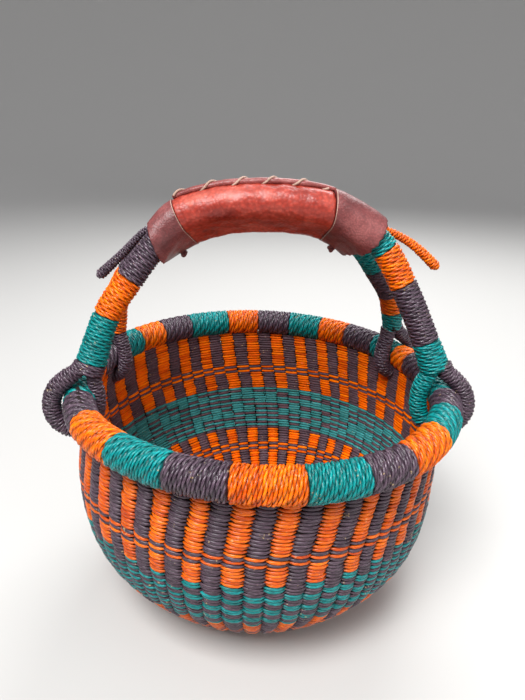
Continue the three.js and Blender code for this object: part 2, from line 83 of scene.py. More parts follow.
LOOPS = {
    "front_left": Loop(-165, 126.2, 0.3, 8.5, 9.6, (0.9, 2.6), (6.0, 4.9), (1, 1)),
    "front_right": Loop(-9, 126.2, 0.1, 4.5, 9.6, (-2.0, -2.4), (5.7, 5.9), (1, 1),
                        (("grey", 0.0, 0.64), ("teal", 0.64, 1.0))),
    "back_left": Loop(163, 131.5, 0.8, 3.5, 9.0, (0, 0), (5.2, 5.2), (1.22, 1.04)),
    "back_right": Loop(30, 134, 0.8, 1.0, 7.2, (-1, -0.5), (5.4, 6.0), (1.3, 0.84)),
}

rng = np.random.default_rng(3886)
# These draws are skipped: the looks were settled with the ones that follow them
rng.integers(0, 2, 40)


def smoothstep(x, low, high):
    t = np.clip((x - low) / (high - low), 0, 1)
    return t * t * (3 - 2 * t)


def turned_from(angle, centre):
    """An angle from a centre, between half a turn back and half a turn on."""
    return np.mod(angle - centre + math.pi, TURN) - math.pi


def settle(p):
    """The lean of the hand-made body: sideways near the rim, and up or down with height."""
    x, y, z = p[..., 0], p[..., 1], p[..., 2]
    share = np.clip(z / RIM_HEIGHT, 0, 1)
    lean = -RIM_TILT * x / RIM_RADIUS
    sag = RIM_SADDLE * (y**2 - x**2) / RIM_RADIUS**2
    sway = RIM_SWAY * smoothstep(z, SWAY_START, RIM_HEIGHT)
    degrees = np.degrees(np.arctan2(y, x))
    bump = 0
    for angle, rise, width in RIM_BUMPS:
        away = np.mod(degrees - angle + 180, 360) - 180
        bump = bump + rise * np.exp(-((away / width) ** 2))
    return np.stack([x + sway, y, z + (lean + sag) * share + bump * share**3], -1)


def around(radius, angle, height):
    """Points from a radius, an angle and a height."""
    radius, angle, height = np.broadcast_arrays(radius, angle, height)
    return np.stack([radius * np.cos(angle), radius * np.sin(angle), height], -1)


def unit(v):
    return v / np.linalg.norm(v, axis=-1, keepdims=True)


def spline(points, per_span=60):
    """A centripetal curve through the points, closely sampled."""
    p = np.asarray(points, float)
    p = np.vstack([2 * p[0] - p[1], p, 2 * p[-1] - p[-2]])
    out = []
    for i in range(1, len(p) - 2):
        p0, p1, p2, p3 = p[i - 1 : i + 3]
        d0, d1, d2 = (
            math.sqrt(max(np.linalg.norm(b - a), 1e-6)) for a, b in ((p0, p1), (p1, p2), (p2, p3))
        )
        t1 = ((p1 - p0) / d0 - (p2 - p0) / (d0 + d1) + (p2 - p1) / d1) * d1
        t2 = ((p2 - p1) / d1 - (p3 - p1) / (d1 + d2) + (p3 - p2) / d2) * d1
        last = i == len(p) - 3
        t = np.linspace(0, 1, per_span + 1)[: None if last else -1, None]
        c2 = -3 * p1 + 3 * p2 - 2 * t1 - t2
        c3 = 2 * p1 - 2 * p2 + t1 + t2
        out.append(p1 + t1 * t + c2 * t**2 + c3 * t**3)
    return np.vstack(out)


class Line:
    """A sampled curve that is read by its length."""

    def __init__(self, points):
        self.points = np.asarray(points, float)
        steps = np.linalg.norm(np.diff(self.points, axis=0), axis=1)
        self.at = np.concatenate([[0], np.cumsum(steps)])
        self.length = self.at[-1]

    def place(self, s):
        """A place on the curve, which runs on straight past both its ends."""
        s = np.asarray(s, float)
        inside = np.stack([np.interp(s, self.at, c) for c in self.points.T], -1)
        first = unit(self.points[1] - self.points[0])
        last = unit(self.points[-1] - self.points[-2])
        before, after = np.minimum(s, 0)[..., None], np.maximum(s - self.length, 0)[..., None]
        return inside + before * first + after * last

    def along(self, s, near=1.5):
        """The direction at a length, taken over a short stretch to both sides."""
        s = np.clip(s, near, self.length - near)
        return unit(self.place(s + near) - self.place(s - near))


# Meshes

# Where the material of a tube is read: how far the fibres are drawn out along it
GRAIN_STRETCH = 0.16
# The free edges in the unfolded square of a part's band, a tube's row and a spindle's cell.
# The fans that close a tube share one small triangle in a corner.
BAND_EDGE, BAND_FILL = (0.001, 0.005), (0.998, 0.99)
ROW_EDGE, ROW_FILL = 0.02, 0.96
CELL_EDGE, CELL_FILL = 0.04, 0.92
FAN_CORNERS = np.array([[0, 0], [0.002, 0], [0.002, 0.002], [0, 0]])


def grid_faces(rings, sides):
    """The quads between rings of points."""
    i, j = np.arange(rings - 1)[:, None], np.arange(sides)[None]
    a = i * sides + j
    b = i * sides + (j + 1) % sides
    return np.stack([a, b, b + sides, a + sides], -1).reshape(-1, 4)


def closed_faces(rings, sides):
    """Those quads, and fans round two more points that close both ends."""
    j = np.arange(sides)
    k = (j + 1) % sides
    tip, last = rings * sides, (rings - 1) * sides
    none = np.full(sides, -1)
    start = np.stack([np.full(sides, tip), k, j, none], -1)
    end = np.stack([np.full(sides, tip + 1), last + j, last + k, none], -1)
    return np.vstack([grid_faces(rings, sides), start, end])


def repeated_faces(faces, count, size):
    """The faces of `count` bodies of one form, which has `size` points."""
    moved = faces[None] + (np.arange(count) * size)[:, None, None]
    return np.where(faces[None] < 0, -1, moved).reshape(-1, 4)


def unfolded(*corners):
    """Faces in the unfolded square, from the two coordinates of each of their corners."""
    places = [np.stack(np.broadcast_arrays(*corner), -1) for corner in corners]
    return np.stack(places, -2).reshape(-1, 4, 2)


def grid_uv(rings, sides, row=None):
    """Corners of grid_faces: a long tube is folded into rows of `row` rings."""
    i, j = np.arange(rings - 1)[:, None], np.arange(sides)[None]
    row = row or rings - 1
    rows = math.ceil((rings - 1) / row)
    u0, u1 = (i % row) / row, (i % row + 1) / row
    v0, v1 = ((i // row + ROW_EDGE + ROW_FILL * k / sides) / rows for k in (j, j + 1))
    return unfolded((u0, v0), (u0, v1), (u1, v1), (u1, v0))


def spindle_uv(rings, sides):
    """Corners of closed_faces: the rings lie in a square and the fans along two of its edges."""
    level = np.arange(1, rings + 1)[:, None] / (rings + 1)
    left, middle, right = ((np.arange(sides) + share) / sides for share in (0, 0.5, 1))
    low, high = level[:-1], level[1:]
    return np.vstack([
        unfolded((left, low), (right, low), (right, high), (left, high)),
        unfolded((middle, 0), (right, level[0]), (left, level[0]), (left, level[0])),
        unfolded((middle, 1), (left, level[-1]), (right, level[-1]), (left, level[-1])),
    ])


class Part:
    """Points, faces (a fourth corner of -1 makes a triangle) and what the materials read:
    grain is where the fibres are read, tone how light it is and sink how deep in shadow."""

    def __init__(self, points, faces, uv, grain, tone, sink, material=0):
        self.points, self.faces, self.uv, self.grain = points, faces, uv, grain
        self.tone, self.sink = (np.broadcast_to(v, (len(points),)) for v in (tone, sink))
        self.material = np.broadcast_to(material, (len(faces),))

    def area(self):
        a, b, c = (self.points[self.faces[:, k]] for k in range(3))
        return np.linalg.norm(np.cross(b - a, c - a), axis=1).sum()


def looks_out(points, faces):
    """Whether the faces enclose a positive volume."""
    a, b, c, d = (points[faces[:, k]] for k in range(4))
    d = np.where(faces[:, 3:] < 0, a, d)
    return (a * (np.cross(b, c) + np.cross(c, d))).sum() >= 0


def link(name, data):
    made = bpy.data.objects.new(name, data)
    bpy.context.scene.collection.objects.link(made)
    return made


def make(name, parts, materials, body, slot, *nodes):
    """One piece from its parts. Their unfolded faces share one square, in bands."""
    areas = np.array([p.area() for p in parts])
    shares = np.maximum(areas / areas.sum(), 0.01)
    shares = shares / shares.sum()
    floor, first = 0.0, 0
    faces, uvs = [], []
    for p, share in zip(parts, shares):
        f = p.faces.copy()
        fill = [BAND_FILL[0], BAND_FILL[1] * share]
        uv = p.uv * fill + [BAND_EDGE[0], floor + BAND_EDGE[1] * share]
        if not looks_out(p.points, f):
            quad = f[:, 3] >= 0
            for corners in (f, uv):
                corners[quad] = corners[quad][:, ::-1]
                corners[~quad, :3] = corners[~quad, :3][:, ::-1]
        f[f >= 0] += first
        first += len(p.points)
        floor += share
        faces.append(f)
        uvs.append(uv)
    points = np.vstack([p.points for p in parts])
    faces, uvs = np.vstack(faces), np.vstack(uvs)
    used = faces >= 0
    totals = used.sum(1)
    mesh = bpy.data.meshes.new(name)
    mesh.vertices.add(len(points))
    mesh.vertices.foreach_set("co", (points * MM).astype(np.float32).ravel())
    mesh.loops.add(int(totals.sum()))
    mesh.loops.foreach_set("vertex_index", faces[used].astype(np.int32))
    mesh.polygons.add(len(faces))
    mesh.polygons.foreach_set("loop_start", (np.cumsum(totals) - totals).astype(np.int32))
    dyes = np.concatenate([p.material for p in parts]).astype(np.int32)
    mesh.polygons.foreach_set("material_index", dyes)
    mesh.polygons.foreach_set("use_smooth", np.ones(len(faces), bool))
    layer = mesh.uv_layers.new(name="OFBake")
    layer.data.foreach_set("uv", uvs[used].astype(np.float32).ravel())
    for key, kind, field in (
        ("grain", "FLOAT_VECTOR", "vector"), ("tone", "FLOAT", "value"), ("sink", "FLOAT", "value"),
    ):
        values = np.concatenate([getattr(p, key) for p in parts]).astype(np.float32)
        mesh.attributes.new(key, kind, "POINT").data.foreach_set(field, values.ravel())
    mesh.update(calc_edges=True)
    for material in materials:
        mesh.materials.append(material)
    piece = link(name, mesh)
    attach(piece, body)
    if nodes:
        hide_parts(*nodes)


def capped(grid, row=None):
    """Points, faces and unfolded corners of a tube of rings, closed over its two ends."""
    rings, sides = grid.shape[:2]
    points = np.vstack([grid.reshape(-1, 3), grid[0].mean(0), grid[-1].mean(0)])
    fans = np.broadcast_to(FAN_CORNERS, (2 * sides, 4, 2))
    return points, closed_faces(rings, sides), np.vstack([grid_uv(rings, sides, row), fans])


def tube_grain(sides, lengths, girth):
    """Fibre coordinates of a closed tube: round the strand, and drawn out along it."""
    psi = np.arange(sides) * TURN / sides
    drawn = GRAIN_STRETCH * np.asarray(lengths)[:, None]
    grain = np.stack(np.broadcast_arrays(girth * np.cos(psi), girth * np.sin(psi), drawn), -1)
    return np.vstack([grain.reshape(-1, 3), grain[0].mean(0), grain[-1].mean(0)])


def drift(count, spacing, low=0.0, high=1.0):
    """A slow random value for each of `count` stations."""
    knots = rng.uniform(low, high, int(count / spacing) + 3)
    return np.interp(np.arange(count), np.arange(len(knots)) * spacing, knots)


def round_rings(centres, e1, e2, radius, sides):
    """Round rings of points about a row of centres, in the plane of two square directions."""
    psi = (np.arange(sides) * TURN / sides)[:, None]
    radius = np.broadcast_to(radius, (len(centres),))[:, None, None]
    return centres[:, None] + radius * (np.cos(psi) * e1[:, None] + np.sin(psi) * e2[:, None])


def plain_tube(centres, e1, e2, radius, sides, tone=0.35, sink=0.85, material=0):
    """A plain tube, such as the bed between a winding's turns, dark by default as painted shade."""
    points, faces, uv = capped(round_rings(centres, e1, e2, radius, sides))
    grain = tube_grain(sides, np.arange(len(centres)) * 2.0, 3)
    return Part(points, faces, uv, grain, tone, sink, material)


# Two plies lie side by side and turn round each other: the outline of one section,
# starting in the waist between them, and how deep in shadow its points lie
PLY_SIZE, PLY_OFFSET, PLY_WAIST = 0.66, 0.4, 0.36
SECTION_SINK = np.array([0.4, 0, 0, 0.4, 0.95] * 2)


def strand_section():
    lobe = np.radians([-105, -38, 38, 105])
    right = np.stack([PLY_OFFSET + PLY_SIZE * np.cos(lobe), PLY_SIZE * np.sin(lobe)], -1)
    half = np.vstack([right, [[0.0, PLY_WAIST]]])
    return np.vstack([half, -half])


SECTION = strand_section()

# How much a strand varies on its way: to the side in mm, in depth and in size as shares of
# its size, in twist in radians, and in tone from ply to ply
WANDER, PRESS, SWELL, TWIST, PLY_TONE = 0.2, 0.05, 0.07, 0.35, 0.22


class Strand(NamedTuple):
    """How a two-ply strand is wound."""

    size: float  # from its middle to its edge, about
    pitch: float
    # How often it is wide and narrow in one turn: two thirds over means that the wide places
    # of its neighbours climb to one side
    nests: float
    steps: int  # stations in one turn
    pairing: float  # how far every second turn leans towards its neighbour
    # depth: how deep the painted shade at the edges of a ply lies
    depth: float = 0.9  # how dark the edges of a ply are


RIM_STRAND = Strand(1.42, 2.25, 7.67, 40, 0.25, 1.3)
ARCH_STRAND = Strand(1.26, 1.98, 6.67, 34, 0.15)
LOOP_STRAND = Strand(1.18, 1.85, 4.67, 24, 0.1, 0.6)
TAIL_STRAND = Strand(1.0, 1.6, 3.67, 18, 0.08)


def winding(strand, axis, start, end, radius, phase=0.0, after=None, material=0):
    """A strand wound round an axis from start to end. axis gives the centre and two square
    directions at a length; radius gives the reach over the windings there."""
    size, pitch, nests, steps, pairing, depth = strand
    first, last = start + size * 0.95, end - size * 0.95
    turns = max(2, round((last - first) / pitch) + 1)
    count = turns * steps + 1
    q = np.linspace(0, turns, count)
    # The first and the last half turn stay in place, so that the ends are square
    s = np.clip(first + (last - first) * (q - 0.5) / (turns - 1), first, last)
    shift = pairing * np.cos(math.pi * (q - 0.75)) + WANDER * (drift(count, steps * 0.6) - 0.5)
    s = s + shift * np.clip(np.minimum(q, turns - q) - 0.5, 0, 1)
    centre, e1, e2 = axis(s)
    theta = TURN * q + phase
    out = np.cos(theta)[:, None] * e1 + np.sin(theta)[:, None] * e2
    reach = radius(s) - size * (1.0 + PRESS * drift(count, steps * 0.3, -1, 1))
    middle = centre + out * reach[:, None]
    side = unit(np.cross(unit(np.gradient(middle, axis=0)), out))
    travel = np.cumsum(np.linalg.norm(np.diff(middle, axis=0), axis=1))
    tau = math.pi * nests * q + TWIST * drift(count, steps * 0.5, -1, 1) + rng.uniform(0, TURN)
    (x, y), c, d = SECTION.T, np.cos(tau)[:, None], np.sin(tau)[:, None]
    u, v = x * c - y * d, x * d + y * c
    size = size * (1 + SWELL * drift(count, 9, -1, 1))
    section = u[..., None] * out[:, None] + v[..., None] * side[:, None]
    grid = middle[:, None] + size[:, None, None] * section
    if after is not None:
        grid = after(grid)
    points, faces, uv = capped(grid, row=steps)
    sides = len(SECTION)
    grain = tube_grain(sides, np.concatenate([[0], travel]) + rng.uniform(0, 500), 1.6)
    # The tone changes from ply to ply as well as slowly along the strand
    plies = np.cos(TURN * np.arange(sides) / sides)
    tone = np.clip(drift(count, steps * 0.8)[:, None] + PLY_TONE * plies, 0, 1)
    # What lies towards the axis is in shadow
    sink = np.clip(SECTION_SINK * depth + np.clip(-1.1 * u, 0, 1), 0, 1)
    tone, sink = (np.append(values, [0.5, 0.5]) for values in (tone, sink))
    return Part(points, faces, uv, grain, tone, sink, material)


# Materials


def linear(rgb):
    c = np.asarray(rgb, float) / 255
    c = np.where(c <= 0.04045, c / 12.92, ((c + 0.055) / 1.055) ** 2.4)
    return (*c.tolist(), 1.0)


class Nodes:
    """Short names for building a material. Colours are given as in a picture, 0 to 255."""

    def __init__(self, name):
        self.material = bpy.data.materials.new(name)
        self.material.use_nodes = True
        self.tree = self.material.node_tree
        self.shader = self.tree.nodes["Principled BSDF"]

    def feed(self, node, values):
        """Links or sets the inputs that values names."""
        for key, value in values.items():
            if isinstance(value, bpy.types.NodeSocket):
                self.tree.links.new(value, node.inputs[key])
            else:
                node.inputs[key].default_value = value

    def add(self, kind, inputs=None, **settings):
        made = self.tree.nodes.new("ShaderNode" + kind)
        for key, value in settings.items():
            setattr(made, key, value)
        self.feed(made, inputs or {})
        return made

    def noise(self, place, scale, detail, roughness=0.5):
        inputs = {"Vector": place, "Scale": scale, "Detail": detail, "Roughness": roughness}
        return self.add("TexNoise", inputs).outputs["Fac"]

    def math(self, operation, a, b):
        return self.add("Math", {0: a, 1: b}, operation=operation).outputs[0]

    def ramp(self, source, *stops):
        made = self.add("ValToRGB", {"Fac": source})
        elements = made.color_ramp.elements
        while len(elements) < len(stops):
            elements.new(0.5)
        for element, (place, color) in zip(elements, stops):
            element.position = place
            element.color = linear(color)
        return made.outputs["Color"]

    def span(self, source, low, high, to_low, to_high):
        """A value, with low to high made into to_low to to_high."""
        keys = ("Value", "From Min", "From Max", "To Min", "To Max")
        inputs = dict(zip(keys, (source, low, high, to_low, to_high)))
        return self.add("MapRange", inputs).outputs["Result"]

    def mix(self, share, under, over):
        """A colour with a second one laid over it."""
        made = self.add("Mix", {0: share, 6: under, 7: linear(over)}, data_type="RGBA")
        return made.outputs[2]

    def surface(self, color, roughness, height, strength, distance, **more):
        bump = self.add("Bump", {"Height": height, "Strength": strength, "Distance": distance})
        inputs = {"Base Color": color, "Roughness": roughness, "Normal": bump.outputs["Normal"]}
        self.feed(self.shader, inputs)
        self.feed(self.shader, {key.replace("_", " "): value for key, value in more.items()})
        return self.material


SPECK = (206, 178, 128)


def straw(name, dark, base, light, roughness, specks, sheen):
    """Dyed grass: fibres, blotches, pale specks, and shadow where the strand lies deep."""
    n = Nodes(name)
    grain = n.add("Attribute", attribute_name="grain").outputs["Vector"]
    tone, sink = (n.add("Attribute", attribute_name=key).outputs["Fac"] for key in ("tone", "sink"))
    place = n.add("TexCoord").outputs["Object"]
    fibre = n.noise(grain, scale=2.2, detail=4.0, roughness=0.6)
    blotch = n.noise(place, scale=90.0, detail=2.0)
    fine = n.noise(place, scale=620.0, detail=1.0)
    coarse = n.noise(place, scale=150.0, detail=0.0)
    color = n.ramp(fibre, (0.28, dark), (0.5, base), (0.74, light))
    hue = n.span(tone, 0.0, 1.0, 0.496, 0.508)
    value = n.math(
        "MULTIPLY", n.span(tone, 0.0, 1.0, 0.78, 1.18), n.span(blotch, 0.3, 0.7, 0.86, 1.12)
    )
    color = n.add("HueSaturation", {"Hue": hue, "Value": value, "Color": color}).outputs["Color"]
    bits = n.math("ADD", fine, n.span(coarse, 0.35, 0.75, -0.1, 0.12))
    color = n.mix(n.span(bits, 0.76, 0.8, 0.0, specks), color, SPECK)
    # Painted shade: sink darkens the colour towards a third of the dark fibres
    color = n.mix(n.span(sink, 0.12, 1.0, 0.0, 0.82), color, [c * 0.32 for c in dark])
    rough = n.span(fibre, 0.3, 0.7, roughness + 0.1, roughness - 0.06)
    return n.surface(color, rough, fibre, 0.45, 0.0002, IOR=1.5, Specular_IOR_Level=sheen)


# The dark, the middle and the light of the fibres; roughness, specks and sheen
STRAW_LOOKS = {
    "orange": ((196, 60, 0), (246, 100, 0), (255, 150, 12), 0.3, 0.5, 0.35),
    "teal": ((0, 80, 86), (0, 134, 133), (28, 186, 182), 0.3, 0.5, 0.35),
    "grey": ((42, 29, 40), (78, 61, 74), (128, 106, 123), 0.3, 0.5, 0.5),
    # The _wall copies are darker (painted shade), the _inside copies lighter (painted light)
    "orange_wall": ((150, 47, 0), (215, 82, 2), (244, 128, 22), 0.32, 0.5, 0.35),
    "teal_wall": ((0, 66, 72), (4, 118, 118), (44, 170, 166), 0.34, 0.5, 0.35),
    "grey_wall": ((40, 27, 35), (70, 54, 65), (116, 97, 111), 0.36, 0.5, 0.35),
    "orange_inside": ((236, 78, 0), (255, 108, 0), (255, 136, 4), 0.5, 0.3, 0.1),
    "teal_inside": ((36, 110, 112), (58, 148, 148), (90, 182, 178), 0.5, 0.5, 0.2),
    "grey_inside": ((62, 44, 54), (94, 74, 84), (128, 106, 112), 0.5, 0.6, 0.2),
    "shadow": ((22, 15, 14), (38, 27, 24), (60, 44, 38), 0.8, 0.0, 0.35),
}
STRAW = {name: straw("straw_" + name, *look) for name, look in STRAW_LOOKS.items()}


def leather(name, dark, base, light, roughness, pebble, gloss=0.0):
    """Pebbled leather: clouds of colour, dark between the pebbles and with fine lighter flecks."""
    n = Nodes(name)
    place = n.add("TexCoord").outputs["Object"]
    cloud = n.noise(place, scale=55.0, detail=3.0)
    fine = n.noise(place, scale=420.0, detail=3.0, roughness=0.6)
    cells = n.add("TexVoronoi", {"Vector": place, "Scale": pebble}, feature="F1")
    cells = cells.outputs["Distance"]
    color = n.ramp(cloud, (0.3, dark), (0.5, base), (0.72, light))
    color = n.mix(n.span(cells, 0.1, 0.75, 0.0, 0.45), color, [c * 0.72 for c in dark])
    color = n.mix(n.span(fine, 0.55, 0.75, 0.0, 0.25), color, light)
    rough = n.span(cloud, 0.3, 0.7, roughness - 0.06, roughness + 0.08)
    rough = n.math("ADD", rough, n.span(fine, 0.3, 0.7, -0.06, 0.08))
    height = n.math("ADD", n.span(cells, 0.0, 0.8, 1.0, 0.0), fine)
    return n.surface(color, rough, height, 0.5, 0.0003, Coat_Weight=gloss, Coat_Roughness=0.3)


RED = leather("leather_red", (120, 28, 18), (172, 54, 38), (212, 96, 76), 0.42, 460.0, 0.08)
DARK = leather("leather_dark", (86, 34, 34), (122, 55, 55), (156, 85, 83), 0.48, 900.0, 0.08)
WELT = leather("leather_welt", (108, 42, 40), (144, 66, 62), (176, 98, 92), 0.45, 900.0, 0.1)
PALE = leather("leather_pale", (150, 116, 102), (190, 156, 138), (212, 184, 168), 0.6, 1200.0)

# The twined body

# The crest of the outer face, as radius and height
PROFILE = [
    (0, 0), (48.1, 0), (72.2, 6.2), (89.6, 18.7), (104.7, 37), (113.6, 52),
    (118.4, 68.9), (120.3, 94.1), (117.8, 139.7),
]
WALL_DEPTH = 5.4
COURSE = 2.22
# The courses run uphill to the right, between the base and the rim
COURSE_TILT, TILT_FROM, TILT_FULL, TILT_EASE = 3.8, 20, 75, 178
HOLE_HALF_WIDTH, HOLE_HALF_HEIGHT, HOLE_POWER = 4.2, 4.6, 0.7
# How far round a hole the columns give way, and how far off that ends
HOLE_FADE, HOLE_REACH = (26, 16), (50, 30)

profile = spline(PROFILE)
profile[:, 1] = np.maximum(profile[:, 1], 0)
profile = Line(profile)

FIRST_STAKE = math.radians(-89.5)
# How far the stakes stand from even spacing, in degrees: at an angle, the shift near the
# rim and the shift at the top of the teal band. A weaver bends them as the wall grows.
STAKE_SHIFTS = np.array([
    (-136, 0.9, 2.2), (-124, 1.2, 1.6), (-112, 1.2, 0.1), (-100, 0.9, -0.4), (-88, 1.1, 0),
    (-76, 2.1, -0.2), (-64, 2.5, -0.7), (-52, 1.7, -2.4), (-40, 0.6, -4), (29, 3.2, 1),
    (41, 2.9, -0.4), (53, 1.9, -1.9), (65, 0.5, -4.1), (77, -0.6, -4.9), (89, -1.2, -5.5),
    (113, -1.1, -6.2), (125, -2.7, -7.6), (137, -3.9, -8.7), (149, -3.3, -9.4),
])
SHIFT_TOP, SHIFT_BAND = 132, 91


def stake_shift(angle, height):
    degrees, top, band = STAKE_SHIFTS.T
    at = np.degrees(angle)
    top, band = (np.interp(at, degrees, values, period=360) for values in (top, band))
    share = (SHIFT_TOP - height) / (SHIFT_TOP - SHIFT_BAND)
    share = np.where(share > 1, 1 + 0.5 * (share - 1), share)
    return np.radians(top + (band - top) * share)


def stake_angle(k, height, stakes=STAKES):
    """Where stake k stands at a height."""
    even = FIRST_STAKE + TURN * np.asarray(k, float) / stakes
    return even + stake_shift(even, height)


def open_holes(angle, height, column, stakes):
    """Moves points of a column aside where a loop of the handle comes through the wall."""
    for loop in LOOPS.values():
        centre = math.radians(loop.angle)
        even = centre - stake_shift(centre, loop.hole) - FIRST_STAKE
        edge = math.floor(even * stakes / TURN) + 0.5
        shift = turned_from(stake_angle(edge, height, stakes), centre)
        side = np.mod(column - edge + stakes / 2, stakes) - stakes / 2
        side = np.where(side > 0, 1.0, -1.0)
        u, w = turned_from(angle, centre) * RIM_RADIUS, height - loop.hole
        near = np.exp(-((u / HOLE_FADE[0]) ** 2) - (w / HOLE_FADE[1]) ** 2)
        v = side * (u - shift * RIM_RADIUS)
        half = np.maximum(0, 1 - (w / HOLE_HALF_HEIGHT) ** 2) ** HOLE_POWER
        half = HOLE_HALF_WIDTH * half
        opened = np.where(v > 0, np.cbrt(np.maximum(v, 0) ** 3 + half**3), half + v)
        moved = (1 - near) * shift * RIM_RADIUS + side * opened
        here = (np.abs(u) < HOLE_REACH[0]) & (np.abs(w) < HOLE_REACH[1])
        angle = np.where(here, centre + moved / RIM_RADIUS, angle)
    return angle


def skin(angle, s, depth, column, stakes):
    """A point of the wall: an angle, a length up the profile and a depth under its crest."""
    ease = smoothstep(s, TILT_FROM, TILT_FULL) * (1 - smoothstep(s, TILT_EASE, profile.length))
    s = s + COURSE_TILT * np.cos(angle) * ease
    at, along = profile.place(s), profile.along(s)
    radius = at[..., 0] - depth * along[..., 1]
    height = at[..., 1] + depth * along[..., 0]
    return settle(around(radius, open_holes(angle, height, column, stakes), height))


class Face(NamedTuple):
    """How the spindles on a face of the weave are drawn."""

    inside: bool
    rings: tuple  # places along a spindle, from -1 to 1
    section: tuple  # places round it, in degrees
    slant: float  # how much they slant, as a share of the outer face's
    reach: float  # how long they are, as a share of the stakes' distance
    dip: float  # how deep their tips lie between the stakes
    taper: tuple  # the two powers by which they thin towards the tips
    # shades: the depth of the painted shade at the tips and along the lower edge
    shades: tuple  # how dark the tips and the lower edge are


OUTER = Face(False, (-0.86, -0.48, 0.0, 0.48, 0.86), (-112, -68, -24, 24, 68, 112, 180),
             slant=1, reach=1.2, dip=2.1, taper=(1.9, 0.7), shades=(0.75, 0.6))
BASE = OUTER._replace(rings=(-0.8, -0.3, 0.3, 0.8), section=(-100, -50, 0, 50, 100, 180))
INNER = Face(True, (-0.8, -0.3, 0.3, 0.8), (-95, -32, 32, 95, 180),
             slant=0.25, reach=1.12, dip=0.5, taper=(4, 0.5), shades=(0.25, 0.1))
# Half the height and half the depth of a spindle, and the power by which its tips dip
SPINDLE_TALL, SPINDLE_THICK, DIP_POWER = 1.2, 1.15, 2.6
SPINDLE_GRAIN = (1.5, 1.5, 0.9)

COURSES = np.arange(7.0, profile.length - 1.5, COURSE)
HEIGHTS = profile.place(COURSES)[:, 1]


def course_at(height):
    return int(np.argmin(np.abs(HEIGHTS - height)))


TEAL_FIRST, TEAL_LAST = course_at(50.0), course_at(83.0)
# The courses where the stripes are crossed by thin lines: grey and orange change places
# above and below them
PIN_OUTSIDE, PIN_INSIDE, PIN_LOW = course_at(101), course_at(105), course_at(33)
ORANGE, GREY, TEAL = 0, 1, 2
# On the inside the teal band has short dark blocks on these stakes, and fine dark lines
BLOCK_STAKES, DARK_LINES = [28, 30, 32], 0.62
# The lengths up the profile where every second stake starts, and every second of the others
HALF_FROM, QUARTER_FROM = 34, 17


def striped(row, grey_stake, margin, pin):
    """The colours of the upper and the lower stripes, and where the teal band lies."""
    upper, lower = row > TEAL_LAST + margin, row < TEAL_FIRST - margin
    swap = np.isin(row, [pin - 1, pin + 1, PIN_LOW - 1, PIN_LOW + 1])
    grey = np.where(upper, grey_stake, ~grey_stake) ^ swap
    return np.where(grey, GREY, ORANGE), ~upper & ~lower


def outer_color(row, k):
    grey_stake = k % 2 == 0
    stripes, band = striped(row, grey_stake, 0, PIN_OUTSIDE)
    down = TEAL_LAST - row
    # Grey stakes stay grey for three courses more; then teal and grey strands take turns
    odd = np.where(grey_stake, (down - 3) // 2 % 2 == 0, (down // 2) % 2 == 0)
    mixed = np.isin((k // 7) % 5, [1, 3])
    teal = np.where(mixed, (down + grey_stake) % 2 == 0, odd) & ~(grey_stake & (down < 3))
    return np.where(band, np.where(teal, TEAL, GREY), stripes)


def inner_color(row, k):
    stripes, band = striped(row, k % 2 == 1, 1, PIN_INSIDE)
    dark = (row % 2 == 0) & (rng.uniform(0, 1, len(k)) < DARK_LINES)
    dark = np.where(np.isin(k, BLOCK_STAKES), row % 5 < 2, dark)
    return np.where(band, np.where(dark, GREY, TEAL), stripes)


